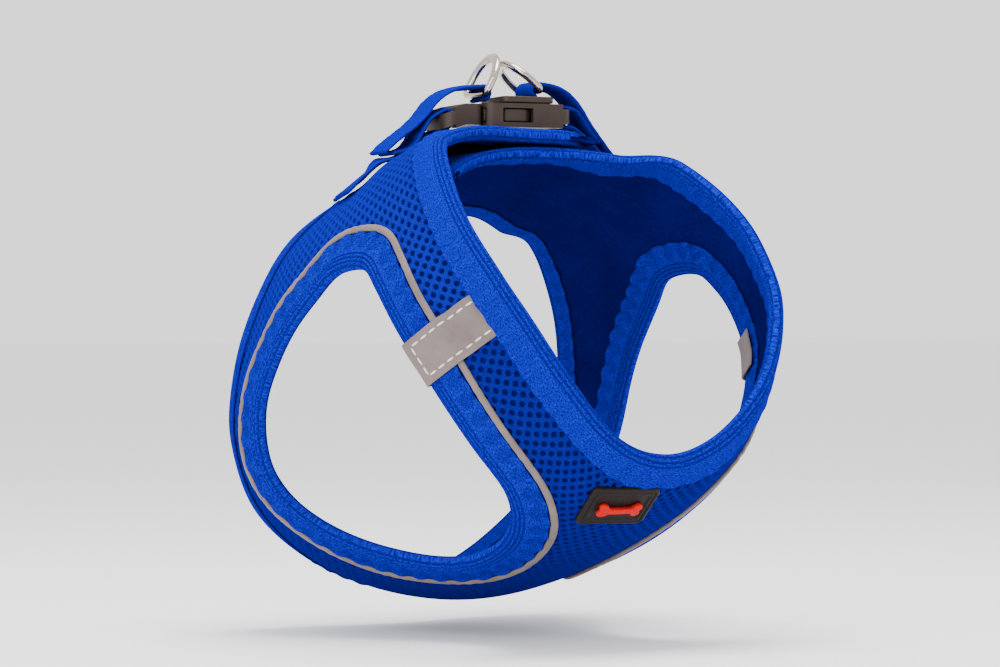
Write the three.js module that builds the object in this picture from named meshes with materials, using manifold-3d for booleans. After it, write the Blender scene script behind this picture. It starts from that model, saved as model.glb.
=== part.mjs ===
// Step-in vest harness for a small dog: air-mesh panels with a lining, elastic edge bindings, reflective
// piping and shoulder tabs, a hook-and-loop back closure, and a side-release buckle with two D-rings.
// Frame: +Z up, the dog looks along -Y, its right side is -X. The origin is the middle of the trunk.
import * as THREE from 'three';
import { mergeVertices } from 'three/addons/utils/BufferGeometryUtils.js';
import Module from 'manifold-3d';

const wasm = await Module();
wasm.setup();

// ---- Driving dimensions, in millimetres ---------------------------------------------------------------
// Girth lines of the worn vest from the neck opening to the rear edge. Each lists half of the line, from
// the spine round to the belly, as half width, y and z.
const GIRTH_LINES = [
  [[0, -6, 84], [27, -15, 82], [46, -36, 75], [55, -60, 55], [53, -77, 36], [47, -87, 20], [36, -92, 2],
    [20, -91, -14], [0, -91, -20]],
  [[0, 11, 81], [28, 8, 79], [50, -8, 66], [66, -24, 42], [70, -36, 18], [64, -45, -6], [48, -54, -27],
    [26, -59, -42], [0, -60, -47]],
  [[0, 29, 73], [27, 28, 71], [50, 22, 57], [67, 18, 33], [74, 16, 7], [73, 14, -17], [58, 12, -41],
    [31, 8, -61], [0, 0, -68]],
  [[0, 46, 64], [24, 47, 63], [46, 50, 51], [60, 54, 29], [66, 58, 4], [65, 61, -18], [54, 64, -41],
    [30, 65, -59], [0, 60, -67]],
];
// Armhole edge in sheet coordinates: u goes round from spine (0) to belly (0.5), v from neck to rear.
const ARMHOLE = [[0.195, 0.37], [0.19, 0.495], [0.205, 0.58], [0.235, 0.685], [0.27, 0.745], [0.315, 0.775],
  [0.345, 0.77], [0.385, 0.72], [0.415, 0.63], [0.438, 0.52], [0.43, 0.4], [0.4, 0.315], [0.35, 0.28],
  [0.3, 0.27], [0.25, 0.295], [0.215, 0.325]];
const ARMHOLE_CENTRE = [0.31, 0.52];
const RIGHT_FLAP_END = -0.075;
const LEFT_FLAP_END = -0.09;

const MESH = [0.3, 0.9];             // outer air mesh, lowest and highest above the sheet's middle
const LINING = [-0.75, -0.35];
const EDGE_INSET = 2;                // from the finished edge to the raw edge inside the binding
const BINDING = { outer: 2.7, inner: -2.4, wall: 0.8 };
const NECK_BINDING_WIDTH = 12;
const REAR_BINDING_WIDTH = 7.5;
const FLAP_BINDING_WIDTH = 9;
const ARMHOLE_BINDING_WIDTH = 12.5;
const PIPING = { from: 13, to: 15.4, low: 1.8, high: 2.6 };
const TAB = { width: 15, low: 3.1, high: 3.8, inner: -2.8, fold: 9 };
const FLAP_DROP = 5.5;               // how far the left flap lies below the right one
const FLAP_RISE = [0.085, 0.13];     // where it comes up to the sheet's own height, from the spine
const FLAP_GAPE = 8.5;               // extra sag of the left flap's free front corner
const GAP = 0.3;

const WEBBING = { width: 15, thickness: 1.3 };
const CLOSURE = { x: 8.4, y: 14, z: 91, yaw: -12 };   // middle of the buckle, turned a little in plan
const BUCKLE = { halfLength: 23.5, halfWidth: 11.7, halfHeight: 4 };
const PLUG_FACE = -9;                // where the plug's shoulder meets the socket's mouth
const SOCKET_MOUTH = -8.6;
const WINDOW = { from: -2.5, to: 8.5 };
const CAVITY = { end: 11, halfWidth: 9.6, halfHeight: 2.4 };
const STRAP_SLOT = { halfWidth: 8, length: 3.6, bar: 3.4 };
const D_RING = { wire: 1.4, halfWidth: 9.4, height: 13.5 };
const RIGHT_RING = { along: -7.5, up: 7.5, lean: 25 };
const LEFT_RING = { along: 12.5, up: 8.9, lean: -50 };

// ---- Solids from rows of points ----------------------------------------------------------------------
function asBody(triangles) {
  const geometry = new THREE.BufferGeometry().setFromPoints(triangles.flat());
  const merged = mergeVertices(geometry, 1e-4);
  const position = merged.attributes.position;
  const index = merged.index.array;
  const corner = (i) => new THREE.Vector3().fromBufferAttribute(position, index[i]);
  let volume = 0;
  for (let i = 0; i < index.length; i += 3) volume += corner(i).dot(corner(i + 1).cross(corner(i + 2)));
  if (volume < 0) for (let i = 0; i < index.length; i += 3) [index[i], index[i + 1]] = [index[i + 1], index[i]];
  merged.computeVertexNormals();
  return merged;
}

const quad = (a, b, c, d) => [[a, b, c], [a, c, d]];

// A body swept through a row of sections. Each section lists one face's points, then the other's backwards.
function loft(sections, closed = false) {
  const count = sections[0].length;
  const triangles = [];
  for (let i = 0; i < sections.length - (closed ? 0 : 1); i++) {
    const here = sections[i];
    const next = sections[(i + 1) % sections.length];
    for (let k = 0; k < count; k++) {
      const l = (k + 1) % count;
      triangles.push(...quad(here[k], next[k], next[l], here[l]));
    }
  }
  if (!closed) {
    for (const [section, flip] of [[sections[0], false], [sections.at(-1), true]]) {
      for (let k = 0; k < count / 2 - 1; k++) {
        const face = [section[k], section[k + 1], section[count - 2 - k], section[count - 1 - k]];
        triangles.push(...quad(...(flip ? face.reverse() : face)));
      }
    }
  }
  return asBody(triangles);
}

function toManifold(geometry) {
  const bare = geometry.clone();
  for (const name of ['normal', 'uv']) bare.deleteAttribute(name);
  const merged = mergeVertices(bare, 1e-4);
  return new wasm.Manifold(new wasm.Mesh({
    numProp: 3,
    vertProperties: new Float32Array(merged.attributes.position.array),
    triVerts: new Uint32Array(merged.index.array),
  }));
}

function fromManifold(solid) {
  const mesh = solid.getMesh();
  const geometry = new THREE.BufferGeometry();
  geometry.setAttribute('position', new THREE.BufferAttribute(mesh.vertProperties, 3));
  geometry.setIndex(new THREE.BufferAttribute(mesh.triVerts, 1));
  geometry.computeVertexNormals();
  return geometry;
}

const cutAway = (geometry, cutters) =>
  fromManifold(cutters.reduce((solid, cutter) => solid.subtract(toManifold(cutter)), toManifold(geometry)));

const joined = (geometries) => fromManifold(geometries.map(toManifold).reduce((a, b) => a.add(b)));

// ---- The sheet: where the cloth lies on the dog ------------------------------------------------------
const smooth = (x, from, to) => THREE.MathUtils.smoothstep((x - from) / (to - from), 0, 1);

const rings = GIRTH_LINES.map((half) => [
  ...half.map(([x, y, z]) => new THREE.Vector3(-x, y, z)),
  ...half.slice(1, -1).reverse().map(([x, y, z]) => new THREE.Vector3(x, y, z)),
]);

function catmullRom(f, a, b, c, d) {
  return 0.5 * (2 * b + (c - a) * f + (2 * a - 5 * b + 4 * c - d) * f * f + (3 * b - a - 3 * c + d) * f ** 3);
}

function aroundRing(ring, u) {
  const place = (((u % 1) + 1) % 1) * ring.length;
  const i = Math.floor(place);
  const near = [-1, 0, 1, 2].map((k) => ring[(i + k + ring.length) % ring.length]);
  const axis = (name) => catmullRom(place - i, ...near.map((point) => point[name]));
  return new THREE.Vector3(axis('x'), axis('y'), axis('z'));
}

function skin(u, v) {
  const stations = rings.map((_, i) => i / (rings.length - 1));
  const point = new THREE.Vector3();
  stations.forEach((at, i) => {
    const weight = stations.reduce((w, other, j) => (i === j ? w : (w * (v - other)) / (at - other)), 1);
    point.addScaledVector(aroundRing(rings[i], u), weight);
  });
  return point;
}

function slopes(surface, u, v) {
  const e = 1e-3;
  return {
    du: surface(u + e, v).sub(surface(u - e, v)).divideScalar(2 * e),
    dv: surface(u, v + e).sub(surface(u, v - e)).divideScalar(2 * e),
  };
}

function skinNormal(u, v) {
  const { du, dv } = slopes(skin, u, v);
  return dv.cross(du).normalize();
}

// u runs past 1 on the left flap's end and below 0 on the right flap's, so each flap has its own height.
function flapHeight(u, v) {
  if (u < 0.5) return 0;
  const fromSpine = 1 - u;
  const free = THREE.MathUtils.clamp((0.075 - fromSpine) / (0.075 - LEFT_FLAP_END), 0, 1);
  const drop = FLAP_DROP * (1 - smooth(fromSpine, ...FLAP_RISE));
  return -drop - FLAP_GAPE * free ** 2 * (1 - smooth(v, 0, 0.6));
}

function cloth(u, v, height = 0) {
  return skin(u, v).addScaledVector(skinNormal(u, v), flapHeight(u, v) + height);
}

// Moves a sheet point by a distance in millimetres along a direction in space.
function stepAlong([u, v], direction, distance) {
  const steps = Math.max(1, Math.ceil(Math.abs(distance) / 3));
  let place = [u, v];
  for (let k = 0; k < steps; k++) {
    const { du, dv } = slopes(cloth, ...place);
    const [uu, uv, vv] = [du.dot(du), du.dot(dv), dv.dot(dv)];
    const [ru, rv] = [direction.dot(du), direction.dot(dv)];
    const scale = distance / steps / (uu * vv - uv * uv);
    place = [place[0] + (ru * vv - rv * uv) * scale, place[1] + (rv * uu - ru * uv) * scale];
  }
  return place;
}

// An edge is a row of sheet points; inward is the side of it on which the cloth lies.
function inward(edge, i, closed, side) {
  const last = edge.length - 1;
  const before = closed ? edge.at(i - 1) : edge[Math.max(i - 1, 0)];
  const after = closed ? edge[(i + 1) % edge.length] : edge[Math.min(i + 1, last)];
  const tangent = cloth(...after).sub(cloth(...before));
  return skinNormal(...edge[i]).cross(tangent).normalize().multiplyScalar(side);
}

// Sections are lists of [distance from the edge, height above the sheet].
function alongEdge(edge, section, { closed = false, side = 1 } = {}) {
  const rows = edge.map((place, i) => {
    const direction = inward(edge, i, closed, side);
    return section.map(([distance, height]) => cloth(...stepAlong(place, direction, distance), height));
  });
  return loft(rows, closed);
}

function foldedSection(width, middles = []) {
  const { outer, inner, wall } = BINDING;
  const backwards = middles.toReversed();
  const outside = [[width, outer], ...backwards.map((d) => [d, outer]), [0.9, outer], [-0.1, outer - 0.9],
    [-0.1, inner + 0.9], [0.9, inner], ...middles.map((d) => [d, inner]), [width, inner]];
  const inside = [[width, inner + wall], ...backwards.map((d) => [d, inner + wall]), [1.5, inner + wall],
    [wall, inner + wall + 0.4], [wall, outer - wall - 0.4],
    [1.5, outer - wall], ...middles.map((d) => [d, outer - wall]), [width, outer - wall]];
  return [...outside, ...inside];
}

const band = (from, to, low, high) => [[from, high], [to, high], [to, low], [from, low]];

// ---- Outlines on the sheet ----------------------------------------------------------------------------
const armholeCurve = new THREE.CatmullRomCurve3(
  ARMHOLE.map(([u, v]) => new THREE.Vector3(u, v, 0)), true).getPoints(400);

const COUNTS = { neck: 21, end: 5, rear: 21, belly: 10 };
const SHOULDER_SEAM = 8;
const GIRTH_SEAM = 40;

// The half vest's border, from the middle of the chest along the neck, down the flap's end and back.
function border(end) {
  const side = (count, from, to) => Array.from({ length: count }, (_, k) =>
    [THREE.MathUtils.lerp(from[0], to[0], k / count), THREE.MathUtils.lerp(from[1], to[1], k / count)]);
  return [
    ...side(COUNTS.neck, [0.5, 0], [end, 0]),
    ...side(COUNTS.end, [end, 0], [end, 1]),
    ...side(COUNTS.rear, [end, 1], [0.5, 1]),
    ...side(COUNTS.belly, [0.5, 1], [0.5, 0]),
  ];
}

// The armhole point on the straight line from the armhole's centre to a border point.
function armholeTowards([u, v]) {
  const [cu, cv] = ARMHOLE_CENTRE;
  const across = (point) => (point.x - cu) * (v - cv) - (point.y - cv) * (u - cu);
  for (let i = 0; i < armholeCurve.length - 1; i++) {
    const [a, b] = [armholeCurve[i], armholeCurve[i + 1]];
    const [sa, sb] = [across(a), across(b)];
    const ahead = (a.x - cu) * (u - cu) + (a.y - cv) * (v - cv) > 0;
    if (ahead && sa * sb <= 0 && sa !== sb) {
      const f = sa / (sa - sb);
      return [THREE.MathUtils.lerp(a.x, b.x, f), THREE.MathUtils.lerp(a.y, b.y, f)];
    }
  }
  throw new Error('no armhole point');
}

const mirrored = ([u, v]) => [1 - u, v];

function half(isLeft) {
  const end = isLeft ? LEFT_FLAP_END : RIGHT_FLAP_END;
  const place = isLeft ? mirrored : (point) => point;
  const rim = border(end);
  const hole = rim.map(armholeTowards).map(place);
  return { isLeft, end, place, rim, hole, holeSide: isLeft ? 1 : -1 };
}

const right = half(false);
const left = half(true);

// Columns of sheet points from the armhole's raw edge to the border's raw edge.
function column(side, i, rows) {
  const { rim, hole, place, end, holeSide } = side;
  const k = i % rim.length;
  const from = stepAlong(hole[k], inward(hole, k, true, holeSide), EDGE_INSET);
  const [u, v] = rim[k];
  const { du, dv } = slopes(skin, ...place(rim[k]));
  const low = EDGE_INSET / dv.length();
  const to = place([Math.max(u, end + EDGE_INSET / du.length()), THREE.MathUtils.clamp(v, low, 1 - low)]);
  const length = cloth(...from).distanceTo(cloth(...to));
  const first = (ARMHOLE_BINDING_WIDTH - EDGE_INSET) / length;
  const atRear = k >= COUNTS.neck + COUNTS.end && k < COUNTS.neck + COUNTS.end + COUNTS.rear;
  const last = 1 - ((atRear ? REAR_BINDING_WIDTH : NECK_BINDING_WIDTH) - EDGE_INSET) / length;
  const between = (r) => THREE.MathUtils.lerp(first, last, (r - 1) / (rows - 2));
  return Array.from({ length: rows + 1 }, (_, r) => {
    const f = r === 0 ? 0 : r === rows ? 1 : between(r);
    return [THREE.MathUtils.lerp(from[0], to[0], f), THREE.MathUtils.lerp(from[1], to[1], f)];
  });
}

// A stretch of a half vest, as triangles; its ends stop short of the seam by half the gap.
function sheetStretch(side, first, last, rows, [low, high]) {
  const columns = [];
  for (let i = first; i <= last; i++) columns.push(column(side, i, rows));
  const shorten = (edge, next) => edge.map(([u, v], r) => {
    const apart = cloth(u, v).distanceTo(cloth(...next[r]));
    const f = GAP / 2 / apart;
    return [THREE.MathUtils.lerp(u, next[r][0], f), THREE.MathUtils.lerp(v, next[r][1], f)];
  });
  columns[0] = shorten(columns[0], columns[1]);
  columns[columns.length - 1] = shorten(columns.at(-1), columns.at(-2));
  const solid = (height) => columns.map((points) => points.map((point) => cloth(...point, height)));
  const [top, middle, bottom] = [solid(high), solid(0), solid(low)];
  const triangles = [];
  const onBelly = (i) => side.rim[(first + i) % side.rim.length][0] === 0.5;
  for (let i = 0; i < columns.length - 1; i++) {
    for (let r = 0; r < rows; r++) {
      const face = (at) => [at[i][r], at[i + 1][r], at[i + 1][r + 1], at[i][r + 1]];
      const [a, b, c, d] = face(middle);
      const turn = a.distanceTo(c) > b.distanceTo(d) ? 1 : 0;
      const turned = (corners) => [...corners.slice(turn), ...corners.slice(0, turn)];
      triangles.push(...quad(...turned(face(top))));
      triangles.push(...quad(...turned(face(bottom))).map((triangle) => triangle.reverse()));
    }
    triangles.push(...quad(top[i][0], bottom[i][0], bottom[i + 1][0], top[i + 1][0]));
    if (!(onBelly(i) && onBelly(i + 1))) {
      triangles.push(...quad(top[i][rows], top[i + 1][rows], bottom[i + 1][rows], bottom[i][rows]));
    }
  }
  for (const [i, flip] of [[0, false], [columns.length - 1, true]]) {
    for (let r = 0; r < rows; r++) {
      const face = [top[i][r], top[i][r + 1], bottom[i][r + 1], bottom[i][r]];
      triangles.push(...quad(...(flip ? face.reverse() : face)));
    }
  }
  return side.isLeft ? triangles.map((triangle) => triangle.reverse()) : triangles;
}

const UPPER_ROWS = 9;
const CHEST_ROWS = 5;
const upperPanel = (side, layer) => asBody(sheetStretch(side, SHOULDER_SEAM, GIRTH_SEAM, UPPER_ROWS, layer));
const chestPanel = (layer) => asBody([right, left].flatMap((side) =>
  sheetStretch(side, GIRTH_SEAM, side.rim.length + SHOULDER_SEAM, CHEST_ROWS, layer)));

// ---- Trim ----------------------------------------------------------------------------------------------
// Both halves' border points at the neck or the rear, from the right flap's end round to the left one's.
function wholeEdge(v) {
  const points = (side) => side.rim.filter((point) => point[1] === v);
  const corner = (side) => (v === 0 ? [[side.end, 0]] : []);
  const belly = v === 0 ? [] : [[0.5, 1]];
  const rightRow = [...points(right), ...corner(right)];
  const leftRow = [...points(left), ...corner(left)];
  const ordered = (row) => row.toSorted((a, b) => a[0] - b[0]);
  const unique = (row) => row.filter((point, i) => i === 0 || point[0] !== row[i - 1][0]);
  return [
    ...unique(ordered([...rightRow, ...belly])),
    ...unique(ordered(leftRow)).filter((point) => point[0] < 0.5).reverse().map(mirrored),
  ];
}

const neckBinding = () => alongEdge(wholeEdge(0), foldedSection(NECK_BINDING_WIDTH, [4.5, 8]), { side: -1 });
const rearBinding = () => alongEdge(wholeEdge(1), foldedSection(REAR_BINDING_WIDTH));
const armholeBinding = (side) =>
  alongEdge(side.hole, foldedSection(ARMHOLE_BINDING_WIDTH), { closed: true, side: side.holeSide });
const piping = (side) => alongEdge(side.hole, band(PIPING.from, PIPING.to, PIPING.low, PIPING.high),
  { closed: true, side: side.holeSide });

function flapBinding(side) {
  const length = cloth(...side.place([side.end, 0])).distanceTo(cloth(...side.place([side.end, 1])));
  const from = (NECK_BINDING_WIDTH + FLAP_BINDING_WIDTH + 3) / length;
  const to = 1 - (REAR_BINDING_WIDTH + FLAP_BINDING_WIDTH / 2) / length;
  const edge = Array.from({ length: 5 }, (_, k) => side.place([side.end, THREE.MathUtils.lerp(from, to, k / 4)]));
  return alongEdge(edge, foldedSection(FLAP_BINDING_WIDTH), { side: -side.holeSide });
}

// The place a distance before or after an edge's point i, along the edge.
function walkAlong(edge, i, distance) {
  const next = i + Math.sign(distance);
  if (distance === 0) return edge[i];
  const length = cloth(...edge[i]).distanceTo(cloth(...edge[next]));
  if (length < Math.abs(distance)) return walkAlong(edge, next, distance - Math.sign(distance) * length);
  const f = Math.abs(distance) / length;
  return [THREE.MathUtils.lerp(edge[i][0], edge[next][0], f), THREE.MathUtils.lerp(edge[i][1], edge[next][1], f)];
}

// Shoulder tab: folded round the armhole binding's edge, its long leg reaching the neck binding.
function shoulderTab(side) {
  const seam = side.hole[SHOULDER_SEAM];
  const neck = side.place([side.rim[SHOULDER_SEAM][0], 0]);
  const length = cloth(...seam).distanceTo(cloth(...neck)) - NECK_BINDING_WIDTH - 1;
  const { width, low, high, inner, fold } = TAB;
  const reach = [0.8, ...[0.3, 0.55, 0.8, 1].map((f) => f * length)];
  const outside = [...reach.toReversed().map((d) => [d, high]), [-0.9, high - 1.4], [-0.9, inner + 0.6],
    [0.8, inner - 0.7], [fold, inner - 0.7]];
  const inside = [[fold, inner], [0.8, inner], [-0.4, inner + 0.8], [-0.4, low - 0.9],
    ...reach.map((d) => [d, low])];
  const towardsNeck = cloth(...neck).sub(cloth(...seam)).normalize();
  const edge = [-0.5, -0.25, 0, 0.25, 0.5].map((f) => walkAlong(side.hole, SHOULDER_SEAM, f * width));
  const rows = edge.map((place) => [...outside, ...inside].map(([distance, height]) =>
    cloth(...stepAlong(place, towardsNeck, distance), height)));
  return loft(rows);
}

const slabSection = (points, low, high) => [
  ...points.map((point) => cloth(...point, high)),
  ...points.toReversed().map((point) => cloth(...point, low)),
];

function badgePlate(width, length, low, high, shape = () => 1) {
  const centre = [0.489, 0.225];
  const steps = 6;
  const rows = Array.from({ length: steps + 1 }, (_, k) => {
    const across = (k / steps - 0.5) * width;
    const half = (length / 2) * shape(k / steps);
    const { du, dv } = slopes(skin, ...centre);
    const middle = stepAlong(centre, du.normalize(), across);
    const points = [-1, 0, 1].map((f) => stepAlong(middle, dv.clone().normalize(), f * half));
    return slabSection(points, low, high);
  });
  return loft(rows);
}

// Hook and loop patches lie between the flaps, level with the right one.
function flapPatch(low, high) {
  const rows = [-0.05, -0.03, -0.01, 0.01, 0.03, 0.05].map((u) => {
    const points = [0.34, 0.46, 0.58, 0.7, 0.8].map((v) => [u, v]);
    return slabSection(points, low, high);
  });
  return loft(rows);
}

// ---- Back closure: everything in the buckle's own frame ------------------------------------------------
const closureFrame = new THREE.Group();
closureFrame.position.set(CLOSURE.x, CLOSURE.y, CLOSURE.z);
closureFrame.rotation.z = THREE.MathUtils.degToRad(CLOSURE.yaw);
closureFrame.updateMatrixWorld();

// Height of the sheet above the buckle frame's ground, at a place along and across the buckle.
function groundHeight(along, across) {
  const target = closureFrame.localToWorld(new THREE.Vector3(along, across, 0));
  let place = [0, 0.45];
  for (let k = 0; k < 12; k++) {
    const point = skin(...place);
    const { du, dv } = slopes(skin, ...place);
    const [dx, dy] = [target.x - point.x, target.y - point.y];
    const det = du.x * dv.y - dv.x * du.y;
    place = [place[0] + (dx * dv.y - dy * dv.x) / det, place[1] + (dy * du.x - dx * du.y) / det];
  }
  return { up: skin(...place).z - CLOSURE.z, slope: skinNormal(...place).z };
}

// A webbing ribbon through [along, up] points; a point with no height rests on the cloth.
function webbing(points, width = WEBBING.width) {
  const half = WEBBING.thickness / 2;
  const resting = (along, across) => {
    const ground = groundHeight(along, across);
    return ground.up + (2.3 + half) / ground.slope;
  };
  const line = (across) => points.map(([along, up]) => new THREE.Vector2(along, up ?? resting(along, across)));
  const edges = [-width / 2, width / 2].map((across) => ({ across, path: line(across) }));
  const rows = points.map((_, i) => {
    const corners = edges.map(({ across, path }) => {
      const tangent = path[Math.min(i + 1, path.length - 1)].clone().sub(path[Math.max(i - 1, 0)]).normalize();
      const offset = (side) => new THREE.Vector3(path[i].x - tangent.y * half * side, across,
        path[i].y + tangent.x * half * side);
      return { high: offset(1), low: offset(-1) };
    });
    return [corners[0].high, corners[1].high, corners[1].low, corners[0].low];
  });
  return loft(rows);
}

function arcPoints(centre, radius, from, to, steps) {
  return Array.from({ length: steps + 1 }, (_, k) => {
    const angle = THREE.MathUtils.degToRad(THREE.MathUtils.lerp(from, to, k / steps));
    return [centre[0] + radius * Math.cos(angle), centre[1] + radius * Math.sin(angle)];
  });
}

const BAR_CENTRE = BUCKLE.halfLength - STRAP_SLOT.bar / 2;
const barLoop = arcPoints([-BAR_CENTRE, 0], 4, -100, 100, 8);
const mirrorAlong = (points) => points.map(([along, up]) => [-along, up]);

const rightStrap = () => webbing([
  [-56, null], [-51, null], [-46, null], [-42, -14.6], [-38, -12], [-32, -8], [-26.5, -4.6],
  ...barLoop, [-27, 1.8], [-32, -5.8], [-36, -8.8]]);
const leftStrap = () => webbing([
  [55, null], [51, null], [46, null], [41, -17.5], [34, -10.5], [26.5, -4.6],
  ...mirrorAlong(barLoop), [27, 1.8], [32, -5.2], [35, -8.8]]);

// The leash loops lie over the buckle's ends and turn back round the straight bars of the D-rings.
function ringLoop(side, ring, outer) {
  const eye = arcPoints([ring.along, ring.up], D_RING.wire + GAP + WEBBING.thickness / 2, side > 0 ? 100 : 80,
    side > 0 ? 250 : -70, 10);
  return webbing([...outer, ...eye]);
}

const rightRingLoop = () => ringLoop(-1, RIGHT_RING,
  [[-45, -14], [-40.5, -11], [-36, -6.6], [-31.5, -2.4], [-27, 4.2], [-22, 7.6], [-15, 9]]);
const leftRingLoop = () => ringLoop(1, LEFT_RING,
  [[42, -15], [38.5, -10.8], [35, -6.4], [31.5, -1.8], [27.5, 4.2], [23, 8.4], [18, 10.4]]);

function roundedPlate(fromX, toX, halfY, radius, height) {
  const shape = new THREE.Shape();
  shape.moveTo(fromX + radius, -halfY);
  shape.lineTo(toX - radius, -halfY);
  shape.absarc(toX - radius, radius - halfY, radius, -Math.PI / 2, 0);
  shape.absarc(toX - radius, halfY - radius, radius, 0, Math.PI / 2);
  shape.lineTo(fromX + radius, halfY);
  shape.absarc(fromX + radius, halfY - radius, radius, Math.PI / 2, Math.PI);
  shape.absarc(fromX + radius, radius - halfY, radius, Math.PI, 1.5 * Math.PI);
  return new THREE.ExtrudeGeometry(shape, { depth: height, bevelEnabled: false, curveSegments: 4 })
    .translate(0, 0, -height / 2);
}

function block([x0, x1], [y0, y1], [z0, z1]) {
  return new THREE.BoxGeometry(x1 - x0, y1 - y0, z1 - z0)
    .translate((x0 + x1) / 2, (y0 + y1) / 2, (z0 + z1) / 2);
}

function strapSlot(side) {
  const outer = side * (BUCKLE.halfLength - STRAP_SLOT.bar);
  const ends = [outer, outer - side * STRAP_SLOT.length].sort((a, b) => a - b);
  return block(ends, [-STRAP_SLOT.halfWidth, STRAP_SLOT.halfWidth], [-9, 9]);
}

function buckleSocket() {
  const body = roundedPlate(SOCKET_MOUTH, BUCKLE.halfLength, BUCKLE.halfWidth, 5, 2 * BUCKLE.halfHeight);
  const { end, halfWidth, halfHeight } = CAVITY;
  return cutAway(body, [
    block([SOCKET_MOUTH - 9, end], [-halfWidth, halfWidth], [-halfHeight, halfHeight]),
    block([WINDOW.from, WINDOW.to], [-20, 20], [-halfHeight, halfHeight]),
    strapSlot(1),
    block([BUCKLE.halfLength - 4, 30], [-20, 20], [2.4, 9]),
    block([BUCKLE.halfLength - 4, 30], [-20, 20], [-9, -2.4]),
  ]);
}

function bucklePlug() {
  const body = roundedPlate(-BUCKLE.halfLength, PLUG_FACE, BUCKLE.halfWidth, 5, 2 * BUCKLE.halfHeight - 1);
  const tongue = block([PLUG_FACE - 2, 7], [-2.6, 2.6], [-1.6, 1.6]);
  const solid = joined([body, tongue]);
  return cutAway(solid, [
    strapSlot(-1),
    block([-30, -BUCKLE.halfLength + 4], [-20, 20], [2.4, 9]),
    block([-30, -BUCKLE.halfLength + 4], [-20, 20], [-9, -2.4]),
  ]);
}

// The arm is long and slim, with a thumb pad that fills the socket's window.
function latchArm(side) {
  const outline = [[-8.4, 5.4], [-8.4, 8.8], [-2.3, 9.2], [-1.6, 10.9], [1.5, 11.4], [5.5, 11.2], [8, 9.4],
    [9.4, 7.4], [8.6, 6.6], [4, 7.4], [-4, 6.2]];
  const shape = new THREE.Shape(outline.map(([x, y]) => new THREE.Vector2(x, side * y)));
  return new THREE.ExtrudeGeometry(shape, { depth: 4.2, bevelEnabled: false }).translate(0, 0, -2.1);
}

// The plate that keeps the left leash loop flat on the socket; its slot lets the loop rise to the ring.
function ringBridge() {
  const plate = roundedPlate(-2, 17, 11, 3, 2.2);
  return cutAway(plate, [block([9.2, 15.2], [-8.2, 8.2], [-9, 9])]).translate(0, 0, BUCKLE.halfHeight + GAP + 1.1);
}

function dRing({ along, up, lean }) {
  const { wire, halfWidth, height } = D_RING;
  const corner = 2.2;
  const arc = (cx, cz, radiusX, radiusZ, from, to, steps) => Array.from({ length: steps + 1 }, (_, k) => {
    const angle = THREE.MathUtils.degToRad(THREE.MathUtils.lerp(from, to, k / steps));
    return new THREE.Vector3(0, cx + radiusX * Math.cos(angle), cz + radiusZ * Math.sin(angle));
  });
  const path = [
    ...arc(corner - halfWidth, corner, corner, corner, 180, 270, 3),
    ...arc(halfWidth - corner, corner, corner, corner, 270, 360, 3),
    ...arc(0, height - halfWidth, halfWidth, halfWidth, 0, 180, 14),
  ];
  const sections = path.map((point, i) => {
    const ahead = path[(i + 1) % path.length].clone().sub(path.at(i - 1)).normalize();
    const aside = new THREE.Vector3(1, 0, 0).cross(ahead);
    return Array.from({ length: 8 }, (_, k) => point.clone()
      .addScaledVector(aside, wire * Math.cos((k * Math.PI) / 4))
      .add(new THREE.Vector3(wire * Math.sin((k * Math.PI) / 4), 0, 0)));
  });
  return loft(sections, true).rotateY(THREE.MathUtils.degToRad(lean)).translate(along, 0, up);
}

// ---- Assembly -------------------------------------------------------------------------------------------
const finish = (color, roughness, metalness = 0) =>
  new THREE.MeshStandardMaterial({ color, roughness, metalness, flatShading: true });

const MATERIALS = {
  airMesh: finish(0x0b46c8, 0.85),
  lining: finish(0x061f8a, 0.95),
  elastic: finish(0x0650e0, 0.8),
  reflective: finish(0xb4a59b, 0.5),
  webbing: finish(0x0a48cc, 0.75),
  hookAndLoop: finish(0x1c1a1d, 0.95),
  plastic: finish(0x2e2320, 0.45),
  rubber: finish(0x1b1413, 0.6),
  emblem: finish(0xd5281e, 0.6),
  steel: finish(0xcfcac4, 0.25, 1),
};

const vest = new THREE.Group();

function add(parent, name, geometry, material) {
  const mesh = new THREE.Mesh(geometry, MATERIALS[material]);
  mesh.name = name;
  parent.add(mesh);
}

add(vest, 'chest_mesh', chestPanel(MESH), 'airMesh');
add(vest, 'chest_lining', chestPanel(LINING), 'lining');
for (const [name, side] of [['right', right], ['left', left]]) {
  add(vest, `${name}_mesh`, upperPanel(side, MESH), 'airMesh');
  add(vest, `${name}_lining`, upperPanel(side, LINING), 'lining');
  add(vest, `${name}_armhole_binding`, armholeBinding(side), 'elastic');
  add(vest, `${name}_flap_binding`, flapBinding(side), 'elastic');
  add(vest, `${name}_piping`, piping(side), 'reflective');
  add(vest, `${name}_shoulder_tab`, shoulderTab(side), 'reflective');
}
add(vest, 'neck_binding', neckBinding(), 'elastic');
add(vest, 'rear_binding', rearBinding(), 'elastic');
add(vest, 'badge', badgePlate(24, 16, 1.9, 3.3), 'rubber');
add(vest, 'badge_emblem', badgePlate(15, 6, 3.6, 4.1, (f) => 0.55 + 0.45 * Math.abs(2 * f - 1)), 'emblem');
add(vest, 'hook_strip', flapPatch(-2.4, -1.5), 'hookAndLoop');
add(vest, 'loop_strip', flapPatch(-3.6, -2.6), 'hookAndLoop');

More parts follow.
